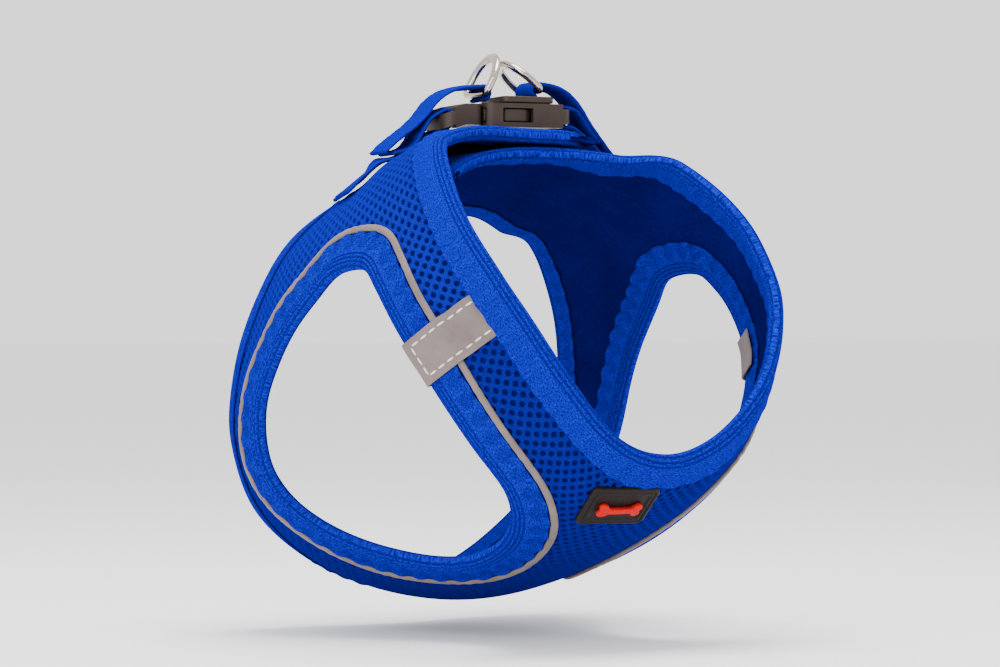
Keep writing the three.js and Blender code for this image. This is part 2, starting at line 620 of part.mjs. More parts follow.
vest.add(closureFrame);
add(closureFrame, 'right_strap', rightStrap(), 'webbing');
add(closureFrame, 'left_strap', leftStrap(), 'webbing');
add(closureFrame, 'right_ring_loop', rightRingLoop(), 'webbing');
add(closureFrame, 'left_ring_loop', leftRingLoop(), 'webbing');
add(closureFrame, 'buckle_plug', bucklePlug(), 'plastic');
add(closureFrame, 'buckle_socket', buckleSocket(), 'plastic');
add(closureFrame, 'front_latch_arm', latchArm(-1), 'plastic');
add(closureFrame, 'rear_latch_arm', latchArm(1), 'plastic');
add(closureFrame, 'ring_bridge', ringBridge(), 'plastic');
add(closureFrame, 'right_d_ring', dRing(RIGHT_RING), 'steel');
add(closureFrame, 'left_d_ring', dRing(LEFT_RING), 'steel');

export default vest;
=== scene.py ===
import math

import bmesh
import bpy
import numpy as np
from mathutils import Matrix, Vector


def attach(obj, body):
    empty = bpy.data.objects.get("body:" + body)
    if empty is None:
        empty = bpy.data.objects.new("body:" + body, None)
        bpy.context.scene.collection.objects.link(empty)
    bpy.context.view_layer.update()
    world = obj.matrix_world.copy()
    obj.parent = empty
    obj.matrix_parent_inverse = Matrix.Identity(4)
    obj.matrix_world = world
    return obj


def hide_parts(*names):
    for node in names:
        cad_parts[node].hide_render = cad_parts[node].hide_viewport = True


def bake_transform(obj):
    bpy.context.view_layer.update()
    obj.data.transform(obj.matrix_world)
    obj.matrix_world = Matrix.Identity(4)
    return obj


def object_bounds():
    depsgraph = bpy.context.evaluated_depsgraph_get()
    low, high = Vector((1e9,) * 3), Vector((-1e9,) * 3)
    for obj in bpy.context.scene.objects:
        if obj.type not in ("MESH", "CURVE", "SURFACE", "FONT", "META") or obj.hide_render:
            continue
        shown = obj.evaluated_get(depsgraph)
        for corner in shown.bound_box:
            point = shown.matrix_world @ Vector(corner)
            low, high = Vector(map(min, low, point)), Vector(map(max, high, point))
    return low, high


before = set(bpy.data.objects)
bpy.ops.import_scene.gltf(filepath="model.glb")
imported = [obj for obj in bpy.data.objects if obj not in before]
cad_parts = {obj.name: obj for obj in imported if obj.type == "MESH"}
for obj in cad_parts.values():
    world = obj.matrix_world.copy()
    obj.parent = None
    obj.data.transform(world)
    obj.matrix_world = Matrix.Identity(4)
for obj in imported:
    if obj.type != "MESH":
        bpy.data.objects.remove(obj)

cad_low, cad_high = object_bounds()

# ---- Studio ---------------------------------------------------------------------------------------------
# A pale floor a little below the vest, which keeps the round shape that it has on a dog, and soft light
# from large lamps above and beside it. The camera stands level, on the dog's front right.
MM = 0.001
CAMERA_TURN = math.radians(-35)
CAMERA_DISTANCE = 1.2
CAMERA_HEIGHT = 0.0178
FLOOR_DROP = 0.0105

camera_data = bpy.data.cameras.new("studio_camera")
camera_data.lens = 129.6
camera_data.sensor_width = 36
camera = bpy.data.objects.new("studio_camera", camera_data)
bpy.context.collection.objects.link(camera)
away = Vector((math.sin(CAMERA_TURN), -math.cos(CAMERA_TURN), 0))
camera.location = away * CAMERA_DISTANCE + Vector((0, 0, CAMERA_HEIGHT))
camera.rotation_euler = (-away).to_track_quat("-Z", "Y").to_euler()
bpy.context.scene.camera = camera

floor_mesh = bpy.data.meshes.new("floor")
floor_height = cad_low.z - FLOOR_DROP
floor_half = 30
floor_mesh.from_pydata([(x * floor_half, y * floor_half, floor_height)
                        for x, y in ((-1, -1), (1, -1), (1, 1), (-1, 1))], [], [(0, 1, 2, 3)])
floor = bpy.data.objects.new("floor", floor_mesh)
bpy.context.collection.objects.link(floor)
floor_paper = bpy.data.materials.new("floor_paper")
floor_paper.use_nodes = True
paper = floor_paper.node_tree.nodes["Principled BSDF"]
paper.inputs["Base Color"].default_value = (0.93, 0.93, 0.93, 1)
paper.inputs["Roughness"].default_value = 0.9
floor_mesh.materials.append(floor_paper)

world = bpy.data.worlds.new("studio_world")
world.use_nodes = True
world.node_tree.nodes["Background"].inputs["Color"].default_value = (1, 1, 1, 1)
world.node_tree.nodes["Background"].inputs["Strength"].default_value = 1.6
bpy.context.scene.world = world


def softbox(name, place, size, power):
    lamp_data = bpy.data.lights.new(name, "AREA")
    lamp_data.shape = "RECTANGLE"
    lamp_data.size, lamp_data.size_y = size
    lamp_data.energy = power
    lamp = bpy.data.objects.new(name, lamp_data)
    lamp.location = place
    lamp.rotation_euler = (-Vector(place)).to_track_quat("-Z", "Y").to_euler()
    bpy.context.collection.objects.link(lamp)


softbox("overhead", (0.0, -0.1, 0.9), (0.55, 0.55), 13)
softbox("left_side", (-0.95, -0.35, 0.35), (0.5, 0.8), 7)

# ---- Cloth panels: lining and core --------------------------------------------------------------------
# Brushed tricot lining bonded to the dark inner face of the spacer mesh. Three panels, cut from flat cloth
# and sewn together under the shoulder tabs and low on the girth.
GIRTH_LINES = np.array([
    [[0, -6, 84], [27, -15, 82], [46, -36, 75], [55, -60, 55], [53, -77, 36], [47, -87, 20], [36, -92, 2],
     [20, -91, -14], [0, -91, -20]],
    [[0, 11, 81], [28, 8, 79], [50, -8, 66], [66, -24, 42], [70, -36, 18], [64, -45, -6], [48, -54, -27],
     [26, -59, -42], [0, -60, -47]],
    [[0, 29, 73], [27, 28, 71], [50, 22, 57], [67, 18, 33], [74, 16, 7], [73, 14, -17], [58, 12, -41],
     [31, 8, -61], [0, 0, -68]],
    [[0, 46, 64], [24, 47, 63], [46, 50, 51], [60, 54, 29], [66, 58, 4], [65, 61, -18], [54, 64, -41],
     [30, 65, -59], [0, 60, -67]],
], float)
GIRTH = np.concatenate([GIRTH_LINES * (-1, 1, 1), GIRTH_LINES[:, -2:0:-1]], axis=1)
STATIONS = np.linspace(0, 1, 4)
FLAP_END = {"right": -0.075, "left": -0.09}
FLAP_DROP = 5.5
FLAP_GAPE = 8.5
FLAP_FREE = 0.075
FLAP_RISE = (0.085, 0.13)
NOMINAL_GIRTH = 440
NOMINAL_LENGTH = 140
ARMHOLE_CENTRE = np.array([0.31, 0.52])
ARMHOLE = np.array([
    [0.195, 0.37], [0.19, 0.495], [0.205, 0.58], [0.235, 0.685], [0.27, 0.745], [0.315, 0.775], [0.345, 0.77],
    [0.385, 0.72], [0.415, 0.63], [0.438, 0.52], [0.43, 0.4], [0.4, 0.315], [0.35, 0.28], [0.3, 0.27],
    [0.25, 0.295], [0.215, 0.325]])
SIDES = ("right", "left")


def catmull_rom(f, a, b, c, d):
    return 0.5 * (2 * b + (c - a) * f + (2 * a - 5 * b + 4 * c - d) * f**2 + (3 * b - a - 3 * c + d) * f**3)


def skin(u, v):
    u, v = np.broadcast_arrays(np.asarray(u, float), np.asarray(v, float))
    place = (u % 1) * GIRTH.shape[1]
    i = np.floor(place).astype(int)
    near = (GIRTH[:, (i + k) % GIRTH.shape[1]] for k in (-1, 0, 1, 2))
    on_line = catmull_rom((place - i)[..., None], *near)
    point = 0
    for j, at in enumerate(STATIONS):
        others = np.delete(STATIONS, j)
        weight = np.prod([(v - other) / (at - other) for other in others], axis=0)
        point = point + weight[..., None] * on_line[j]
    return point


def slopes(surface, u, v, e=1e-3):
    return ((surface(u + e, v) - surface(u - e, v)) / (2 * e),
            (surface(u, v + e) - surface(u, v - e)) / (2 * e))


def unit(vectors):
    return vectors / np.linalg.norm(vectors, axis=-1, keepdims=True)


def skin_normal(u, v):
    along_u, along_v = slopes(skin, u, v)
    return unit(np.cross(along_v, along_u))


def smooth(x, low, high):
    x = np.clip((x - low) / (high - low), 0, 1)
    return x * x * (3 - 2 * x)


def flap_height(u, v):
    from_spine = 1 - u
    free = np.clip((FLAP_FREE - from_spine) / (FLAP_FREE - FLAP_END["left"]), 0, 1)
    drop = FLAP_DROP * (1 - smooth(from_spine, *FLAP_RISE))
    height = -drop - FLAP_GAPE * free**2 * (1 - smooth(v, 0, 0.6))
    return np.where(u < 0.5, 0, height)


def slack(u, v):
    wave = np.sin(41 * u + 9 * v + 1) * np.sin(23 * u - 11 * v) + 0.5 * np.sin(77 * u + 16 * v)
    return 0.3 * wave


def cloth(u, v, height=0.0):
    lift = flap_height(u, v) + slack(u, v) + height
    return skin(u, v) + skin_normal(u, v) * lift[..., None]


def step(u, v, direction, distance):
    along_u, along_v = slopes(cloth, u, v)
    uu, uv, vv = ((a * b).sum(-1) for a, b in ((along_u, along_u), (along_u, along_v), (along_v, along_v)))
    to_u, to_v = (direction * along_u).sum(-1), (direction * along_v).sum(-1)
    scale = distance / (uu * vv - uv * uv)
    return u + (to_u * vv - to_v * uv) * scale, v + (to_v * uu - to_u * uv) * scale


def make_object(name, mesh):
    piece = bpy.data.objects.new(name, mesh)
    bpy.context.collection.objects.link(piece)
    return piece


def grid_faces(rows, columns, wrap_rows=False, wrap_columns=False):
    i = np.arange(rows if wrap_rows else rows - 1)[:, None]
    j = np.arange(columns if wrap_columns else columns - 1)[None, :]
    i2, j2 = (i + 1) % rows, (j + 1) % columns
    corners = (i * columns + j, i2 * columns + j, i2 * columns + j2, i * columns + j2)
    return np.stack(np.broadcast_arrays(*corners), axis=-1).reshape(-1, 4)


def mesh_from(name, points, faces, uv=None, material=None, smooth_shade=True):
    mesh = bpy.data.meshes.new(name)
    mesh.from_pydata((np.asarray(points).reshape(-1, 3) * MM).tolist(), [],
                     [list(map(int, face)) for face in faces])
    if uv is not None:
        corners = np.array([loop.vertex_index for loop in mesh.loops])
        layer = mesh.uv_layers.new(name="UVMap")
        layer.data.foreach_set("uv", np.asarray(uv, float).reshape(-1, 2)[corners].astype(np.float32).ravel())
    mesh.shade_smooth() if smooth_shade else mesh.shade_flat()
    mesh.validate()
    if material is not None:
        mesh.materials.append(material)
    return mesh


def faces_out(mesh):
    work = bmesh.new()
    work.from_mesh(mesh)
    bmesh.ops.recalc_face_normals(work, faces=work.faces)
    if work.calc_volume(signed=True) < 0:
        bmesh.ops.reverse_faces(work, faces=work.faces)
    work.to_mesh(mesh)
    work.free()


def new_material(name, color, roughness, **sockets):
    material = bpy.data.materials.new(name)
    material.use_nodes = True
    shader = material.node_tree.nodes["Principled BSDF"]
    shader.inputs["Base Color"].default_value = (*color, 1)
    shader.inputs["Roughness"].default_value = roughness
    for socket, value in sockets.items():
        shader.inputs[socket.replace("_", " ")].default_value = value
    return material


def add_node(material, kind, **values):
    node = material.node_tree.nodes.new(kind)
    for key, value in values.items():
        if key in node.inputs:
            node.inputs[key].default_value = value
        else:
            setattr(node, key, value)
    return node


def coordinates(material, output="Object", scale=(1, 1, 1), turn=0.0):
    source = add_node(material, "ShaderNodeTexCoord")
    mapping = add_node(material, "ShaderNodeMapping")
    mapping.inputs["Scale"].default_value = scale
    mapping.inputs["Rotation"].default_value = (0, 0, turn)
    material.node_tree.links.new(source.outputs[output], mapping.inputs["Vector"])
    return mapping.outputs["Vector"]


def textured(material, kind, vector, output=0, **values):
    node = add_node(material, kind, **values)
    material.node_tree.links.new(vector, node.inputs["Vector"])
    return node.outputs[output]


def calculate(material, operation, first, second):
    node = add_node(material, "ShaderNodeMath", operation=operation)
    for socket, value in zip(node.inputs, (first, second)):
        if isinstance(value, (int, float)):
            socket.default_value = value
        else:
            material.node_tree.links.new(value, socket)
    return node.outputs[0]


def bump(material, height, distance, strength=1.0):
    node = add_node(material, "ShaderNodeBump")
    node.inputs["Distance"].default_value = distance
    node.inputs["Strength"].default_value = strength
    material.node_tree.links.new(height, node.inputs["Height"])
    material.node_tree.links.new(node.outputs["Normal"],
                                 material.node_tree.nodes["Principled BSDF"].inputs["Normal"])


def tint(material, factor, *stops):
    ramp = add_node(material, "ShaderNodeValToRGB")
    elements = ramp.color_ramp.elements
    while len(elements) < len(stops):
        elements.new(0.5)
    for element, (position, color) in zip(elements, stops):
        element.position = position
        element.color = (*color, 1)
    material.node_tree.links.new(factor, ramp.inputs["Fac"])
    material.node_tree.links.new(ramp.outputs["Color"],
                                 material.node_tree.nodes["Principled BSDF"].inputs["Base Color"])


# Paints shade into a material's base colour: mixes in a dark colour as far as the named attribute says.
def paint_shade(material, attribute, color, strength):
    shader = material.node_tree.nodes["Principled BSDF"]
    source = shader.inputs["Base Color"].links[0].from_socket
    where = add_node(material, "ShaderNodeAttribute", attribute_name=attribute)
    mix = add_node(material, "ShaderNodeMix", data_type="RGBA")
    share = calculate(material, "MULTIPLY", where.outputs["Fac"], strength)
    material.node_tree.links.new(share, mix.inputs[0])
    material.node_tree.links.new(source, mix.inputs[6])
    mix.inputs[7].default_value = (*color, 1)
    material.node_tree.links.new(mix.outputs[2], shader.inputs["Base Color"])


def polar(u, v):
    return np.arctan2(v - ARMHOLE_CENTRE[1], u - ARMHOLE_CENTRE[0])


loop_place = np.arange(0, len(ARMHOLE), 0.02)
loop_index = np.floor(loop_place).astype(int)
armhole_line = catmull_rom((loop_place - loop_index)[:, None],
                           *(ARMHOLE[(loop_index + k) % len(ARMHOLE)] for k in (-1, 0, 1, 2)))
armhole_angle = polar(*armhole_line.T)
armhole_reach = np.linalg.norm(armhole_line - ARMHOLE_CENTRE, axis=1)
angle_order = np.argsort(armhole_angle)


def armhole_radius(angle):
    return np.interp(angle, armhole_angle[angle_order], armhole_reach[angle_order], period=2 * math.pi)


def on_side(u, side):
    return u if side == "right" else 1 - u


# Seam directions from the armhole's centre: the shoulder seam first, then the girth seam.
SEAMS = {"right": ((0.281, 0), (0.308, 1)), "left": ((0.2752, 0), (0.3033, 1))}


def border_radius(angle, side):
    du, dv = np.cos(angle), np.sin(angle)
    with np.errstate(divide="ignore"):
        reach_u = np.where(du > 0, 0.5 - ARMHOLE_CENTRE[0], FLAP_END[side] - ARMHOLE_CENTRE[0]) / du
        reach_v = np.where(dv > 0, 1 - ARMHOLE_CENTRE[1], -ARMHOLE_CENTRE[1]) / dv
    return np.minimum(np.abs(reach_u), np.abs(reach_v))


def angle_columns(start, end, side, count):
    corners = [polar(u, v) for u in (0.5, FLAP_END[side]) for v in (0, 1)]
    span = (end - start) % (2 * math.pi)
    fine = start + np.linspace(0, span, 4000)
    r = border_radius(fine, side)
    points = ARMHOLE_CENTRE + r[:, None] * np.stack([np.cos(fine), np.sin(fine)], 1)
    length = np.linalg.norm(np.diff(skin(on_side(points[:, 0], side), points[:, 1]), axis=0), axis=1)
    hole = ARMHOLE_CENTRE + armhole_radius(fine)[:, None] * np.stack([np.cos(fine), np.sin(fine)], 1)
    length = length + np.linalg.norm(np.diff(skin(on_side(hole[:, 0], side), hole[:, 1]), axis=0), axis=1)
    total = np.concatenate([[0], np.cumsum(length)])
    angles = np.interp(np.linspace(0, total[-1], count), total, fine)
    for corner in corners:
        offset = (corner - start) % (2 * math.pi)
        if offset < span:
            angles[np.argmin(np.abs(angles - start - offset))] = start + offset
    return np.sort(angles)


BELLY_LAP = 0.3


def panel_grid(side, start, end, columns, rows, inset=2.5):
    angles = angle_columns(start, end, side, columns)
    direction = np.stack([np.cos(angles), np.sin(angles)], 1)
    hole = ARMHOLE_CENTRE + armhole_radius(angles)[:, None] * direction
    border = ARMHOLE_CENTRE + border_radius(angles, side)[:, None] * direction
    length = np.linalg.norm(skin(on_side(border[:, 0], side), border[:, 1])
                            - skin(on_side(hole[:, 0], side), hole[:, 1]), axis=1)
    to_belly = np.isclose(border[:, 0], 0.5, atol=1e-4)
    first = inset / length
    last = np.where(to_belly, 1 + BELLY_LAP / length, 1 - inset / length)
    f = first[:, None] + np.linspace(0, 1, rows)[None, :] * (last - first)[:, None]
    places = hole[:, None] + f[..., None] * (border - hole)[:, None]
    places[..., 1] = np.clip(places[..., 1], 0.02, 0.98)
    return on_side(places[..., 0], side), places[..., 1]


CORE = (-0.95, 0.55)
PANEL_ROWS = 36


def panel_slab(name, stretches, material):
    points, faces, uv = [], [], []
    for side, start, end, columns in stretches:
        u, v = panel_grid(side, start, end, columns, PANEL_ROWS)
        base = sum(len(p) for p in points)
        count = u.size
        quads = grid_faces(columns, PANEL_ROWS)
        if side == "left":
            quads = quads[:, ::-1]
        rim = []
        for r in (0, PANEL_ROWS - 1):
            for i in range(columns - 1):
                a, b = i * PANEL_ROWS + r, (i + 1) * PANEL_ROWS + r
                rim.append([a, b, b + count, a + count])
        for i in (0, columns - 1):
            for r in range(PANEL_ROWS - 1):
                a = i * PANEL_ROWS + r
                rim.append([a, a + 1, a + 1 + count, a + count])
        points += [cloth(u, v, CORE[1]).reshape(-1, 3), cloth(u, v, CORE[0]).reshape(-1, 3)]
        faces += [quads + base, quads[:, ::-1] + base + count, np.array(rim) + base]
        flat = np.stack([u * NOMINAL_GIRTH, v * NOMINAL_LENGTH], -1).reshape(-1, 2)
        uv += [flat, flat]
    mesh = mesh_from(name, np.concatenate(points), np.concatenate(faces), np.concatenate(uv), material)
    faces_out(mesh)
    return mesh


tricot = new_material("tricot_lining", (0.003, 0.004, 0.09), 0.9, Specular_IOR_Level=0.0)
nap = textured(tricot, "ShaderNodeTexNoise", coordinates(tricot), Scale=900.0, Detail=6.0, Roughness=0.7)
shade = textured(tricot, "ShaderNodeTexNoise", coordinates(tricot), Scale=60.0, Detail=3.0)
tint(tricot, calculate(tricot, "ADD", calculate(tricot, "MULTIPLY", nap, 0.6),
                       calculate(tricot, "MULTIPLY", shade, 0.4)),
     (0.3, (0.002, 0.001, 0.045)), (0.7, (0.004, 0.003, 0.11)))
bump(tricot, nap, 0.0004, 0.7)

seam_angle = {side: [polar(*place) for place in SEAMS[side]] for side in SIDES}
for panel in ("chest", *SIDES):
    if panel == "chest":
        stretches = [(side, seam_angle[side][0], seam_angle[side][1], 170) for side in SIDES]
    else:
        stretches = [(panel, seam_angle[panel][1], seam_angle[panel][0], 230)]
    piece = make_object(f"{panel}_lining_cloth", panel_slab(f"{panel}_lining_cloth", stretches, tricot))
    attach(piece, "root")
    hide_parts(f"{panel}_lining")

# ---- Air mesh ------------------------------------------------------------------------------------------
# The bright outer face of the spacer mesh: a warp-knitted net with staggered oval holes about 3 mm apart,
# through which the dark inner face shows. Cut in the lining's three panels; the chest's darker blue is
# painted shade.
HOLE_PITCH = 4.3
HOLE_ROW = 2.3
HOLE_SHARE = 0.76
HOLE_SQUASH = 0.85
NET_HEIGHT = 1.35
NET_DEPTH = 0.8
NET_INSET = 3.5


def net_tree(name):
    tree = bpy.data.node_groups.new(name, "GeometryNodeTree")
    tree.interface.new_socket("Geometry", in_out="INPUT", socket_type="NodeSocketGeometry")
    for label, value in (("Hole share", 0.6), ("Hole squash", 0.8), ("Depth", -0.001)):
        socket = tree.interface.new_socket(label, in_out="INPUT", socket_type="NodeSocketFloat")
        socket.default_value = value
    knit = tree.interface.new_socket("Knit", in_out="INPUT", socket_type="NodeSocketMaterial")
    tree.interface.new_socket("Geometry", in_out="OUTPUT", socket_type="NodeSocketGeometry")
    nodes, link = tree.nodes, tree.links.new
    given, result = nodes.new("NodeGroupInput"), nodes.new("NodeGroupOutput")
    inset = nodes.new("GeometryNodeExtrudeMesh")
    inset.inputs["Offset Scale"].default_value = 0
    link(given.outputs["Geometry"], inset.inputs["Mesh"])
    narrow = nodes.new("GeometryNodeScaleElements")
    link(inset.outputs["Mesh"], narrow.inputs["Geometry"])
    link(inset.outputs["Top"], narrow.inputs["Selection"])
    link(given.outputs["Hole share"], narrow.inputs["Scale"])
    rise = nodes.new("GeometryNodeInputNamedAttribute")
    rise.data_type = "FLOAT_VECTOR"
    rise.inputs["Name"].default_value = "rise"
    oval = nodes.new("GeometryNodeScaleElements")
    oval.scale_mode = "SINGLE_AXIS"
    link(narrow.outputs["Geometry"], oval.inputs["Geometry"])
    link(inset.outputs["Top"], oval.inputs["Selection"])
    link(given.outputs["Hole squash"], oval.inputs["Scale"])
    link(rise.outputs["Attribute"], oval.inputs["Axis"])
    sink = nodes.new("GeometryNodeExtrudeMesh")
    link(oval.outputs["Geometry"], sink.inputs["Mesh"])
    link(inset.outputs["Top"], sink.inputs["Selection"])
    link(given.outputs["Depth"], sink.inputs["Offset Scale"])
    opened = nodes.new("GeometryNodeDeleteGeometry")
    opened.domain = "FACE"
    link(sink.outputs["Mesh"], opened.inputs["Geometry"])
    link(sink.outputs["Top"], opened.inputs["Selection"])
    rounded = nodes.new("GeometryNodeSubdivisionSurface")
    rounded.inputs["Level"].default_value = 1
    link(opened.outputs["Geometry"], rounded.inputs["Mesh"])
    soft = nodes.new("GeometryNodeSetShadeSmooth")
    link(rounded.outputs["Mesh"], soft.inputs["Geometry"])
    real = nodes.new("GeometryNodeRealizeInstances")
    link(soft.outputs["Geometry"], real.inputs["Geometry"])
    finish = nodes.new("GeometryNodeSetMaterial")
    link(real.outputs["Geometry"], finish.inputs["Geometry"])
    link(given.outputs["Knit"], finish.inputs["Material"])
    link(finish.outputs["Geometry"], result.inputs["Geometry"])
    return tree


def grown(name, mesh, tree, inputs):
    source = bpy.data.objects.new(name, mesh)
    bpy.context.collection.objects.link(source)
    modifier = source.modifiers.new(tree.name, "NODES")
    modifier.node_group = tree
    for item in tree.interface.items_tree:
        if item.in_out == "INPUT" and item.name in inputs:
            modifier[item.identifier] = inputs[item.name]
    bpy.context.view_layer.update()
    made = bpy.data.meshes.new_from_object(source.evaluated_get(bpy.context.evaluated_depsgraph_get()))
    made.name = name
    bpy.data.objects.remove(source)
    return make_object(name, made)


air_knit = new_material("air_mesh_knit", (0.003, 0.008, 0.35), 0.7, Specular_IOR_Level=0.0)
yarn = textured(air_knit, "ShaderNodeTexNoise", coordinates(air_knit, scale=(1, 1, 2)),
                Scale=2600.0, Detail=4.0)
tint(air_knit, yarn, (0.3, (0.001, 0.002, 0.13)), (0.68, (0.003, 0.01, 0.34)))
bump(air_knit, yarn, 0.0003, 0.7)
# Painted shade: the chest panel gets a darker copy of the knit, standing for the shade on the chest, which
# faces down.
CHEST_SHADED_BLUES = ((0.001, 0.0015, 0.09, 1), (0.003, 0.006, 0.25, 1))
chest_knit_painted_shade = air_knit.copy()
chest_knit_painted_shade.name = "air_mesh_knit_chest_painted_shade"
chest_shade_ramp = next(node for node in chest_knit_painted_shade.node_tree.nodes if node.type == "VALTORGB").color_ramp
for element, blue in zip(chest_shade_ramp.elements, CHEST_SHADED_BLUES):
    element.color = blue

u_count = int((1 - FLAP_END["left"] - FLAP_END["right"]) * NOMINAL_GIRTH / (HOLE_PITCH / 2))
lattice_u = np.linspace(FLAP_END["right"], 1 - FLAP_END["left"], u_count)
arc_v = np.linspace(0, 1, 121)
arc_points = skin(lattice_u[:, None], arc_v[None, :])
arc_length = np.concatenate([np.zeros((u_count, 1)),
                             np.cumsum(np.linalg.norm(np.diff(arc_points, axis=1), axis=2), axis=1)], axis=1)
row_count = int(arc_length.max() / HOLE_ROW)
lattice_v = np.stack([np.interp(np.arange(row_count) * HOLE_ROW, line, arc_v, right=np.nan)
                      for line in arc_length])
lattice_uv = np.stack([np.broadcast_to(lattice_u[:, None], lattice_v.shape), lattice_v], -1)


def panel_of(u, v):
    side = np.where(u < 0.5, 0, 1)
    own_u = np.where(side == 0, u, 1 - u)
    angle = polar(own_u, v)
    low = np.where(side == 0, seam_angle["right"][0], seam_angle["left"][0])
    high = np.where(side == 0, seam_angle["right"][1], seam_angle["left"][1])
    in_chest = (angle > low) & (angle < high)
    radius = np.hypot(own_u - ARMHOLE_CENTRE[0], v - ARMHOLE_CENTRE[1])
    rim = armhole_radius(angle)
    edge = skin(np.where(side == 0, 1, -1) * (ARMHOLE_CENTRE[0] + rim * np.cos(angle)) + side,
                ARMHOLE_CENTRE[1] + rim * np.sin(angle))
    inside = (radius > rim) & (np.linalg.norm(skin(u, v) - edge, axis=-1) > NET_INSET)
    return np.where(inside, np.where(in_chest, 2, side), -1)


i, j = np.meshgrid(np.arange(1, u_count - 1), np.arange(1, row_count - 1), indexing="ij")
centres = (i + j) % 2 == 0
i, j = i[centres], j[centres]
corner_ids = np.stack([(i - 1) * row_count + j, i * row_count + j - 1, (i + 1) * row_count + j,
                       i * row_count + j + 1], 1)
centre_uv = lattice_uv[i, j]
whole = ~np.isnan(lattice_v.ravel()[corner_ids]).any(1) & ~np.isnan(centre_uv[:, 1])
corner_ids, centre_uv, j = corner_ids[whole], centre_uv[whole], j[whole]
near_edge = (j < 2) | (centre_uv[:, 1] > 0.975)
panel_index = np.where(near_edge, -1, panel_of(*centre_uv.T))
knit_net = net_tree("perforated_knit")
net_form = {"Hole share": HOLE_SHARE, "Hole squash": HOLE_SQUASH, "Depth": -NET_DEPTH * MM}
for index, panel in enumerate((*SIDES, "chest")):
    chosen = corner_ids[panel_index == index]
    used, renumbered = np.unique(chosen, return_inverse=True)
    spot = lattice_uv.reshape(-1, 2)[used]
    knots = cloth(spot[:, 0], spot[:, 1], NET_HEIGHT)
    mesh = mesh_from(f"{panel}_cells", knots, renumbered.reshape(-1, 4)[:, ::-1])
    rise = mesh.attributes.new("rise", "FLOAT_VECTOR", "POINT")
    rise.data.foreach_set("vector", unit(slopes(skin, spot[:, 0], spot[:, 1])[1]).astype(np.float32).ravel())
    knit = chest_knit_painted_shade if panel == "chest" else air_knit
    piece = grown(f"{panel}_air_mesh", mesh, knit_net, {**net_form, "Knit": knit})
    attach(piece, "root")
    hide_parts(f"{panel}_mesh")

# ---- Edge bindings -------------------------------------------------------------------------------------
# Folded elastic, sewn over every raw edge with a zig-zag seam. Its free edge keeps fine ribs; the seam pulls
# the wider part into small V-shaped puckers. Rib grooves and puckers get painted shade in the elastic's
# colour.
RIB_PITCH = 1.35
RIB_HEIGHT = 0.26
ZIGZAG_PERIOD = 6.6
PUCKER_DEPTH = 0.6
BINDING_HALF = 2.15
BINDING_MIDDLE = 0.2
# Each kind of elastic: its width, the width of its ribbed edge, and how hard the seam pulls it in.
ARMHOLE_ELASTIC = (12.5, 5.6, 1.0)
NECK_ELASTIC = (12, 4.3, 0.45)
REAR_ELASTIC = (8, 3.0, 0.7)


def even(u, v, spacing, closed=False):
    if closed:
        u, v = np.append(u, u[0]), np.append(v, v[0])
    length = np.concatenate([[0], np.cumsum(np.linalg.norm(np.diff(cloth(u, v), axis=0), axis=1))])
    count = int(round(length[-1] / spacing))
    at = np.linspace(0, length[-1], count + 1)
    if closed:
        at = at[:-1]
    return np.interp(at, length, u), np.interp(at, length, v), at, length[-1]


def march(u, v, width, pace, closed, side):
    points = cloth(u, v)
    if closed:
        tangent = np.roll(points, -2, axis=0) - np.roll(points, 2, axis=0)
    else:
        tangent = np.gradient(points, axis=0)
    inward = unit(np.cross(skin_normal(u, v), tangent)) * side
    distances = np.arange(0, width + pace, pace)
    lines = [(u, v)]
    for _ in distances[1:]:
        lines.append(step(*lines[-1], inward, pace))
    return distances, np.array(lines)


def on_strip(strip, distance):
    distances, lines = strip
    place = np.clip(distance / (distances[1] - distances[0]), 0, len(distances) - 1.001)
    k = np.floor(place).astype(int)
    f = place - k
    column = np.arange(lines.shape[2])[:, None]
    return tuple((1 - f) * lines[k, axis, column] + f * lines[k + 1, axis, column] for axis in (0, 1))


def relief(along, distance, width, ribbed, pulled):
    flat = smooth(distance, ribbed - 1, ribbed + 0.5)
    ribs = RIB_HEIGHT * np.cos(2 * math.pi * distance / RIB_PITCH) * (1 - flat)
    low, high = ribbed + 0.8, width - 1.2
    phase = (along / ZIGZAG_PERIOD) % 1
    seam = low + (high - low) * np.abs(2 * phase - 1)
    off = (distance - seam) * 0.72
    pull = np.where(distance < seam, 0.95, 0.7) * (1 + 0.3 * np.sin(along / 11) * np.sin(along / 3.7))
    ease = 0.75 + 0.25 * np.sin(along / 4.1 + 1) * np.sin(along / 9.3)
    outwards = 0.55 + 0.45 * smooth(distance, low, high)
    pucker = -PUCKER_DEPTH * ease * outwards * np.exp(-(np.abs(off) / pull) ** 1.4)
    pucker = pucker * smooth(distance, ribbed, ribbed + 1)
    pillow = 0.3 * np.cos(2 * math.pi * along / ZIGZAG_PERIOD) * smooth(distance, ribbed, width)
    return ribs + pulled * (pucker + pillow)


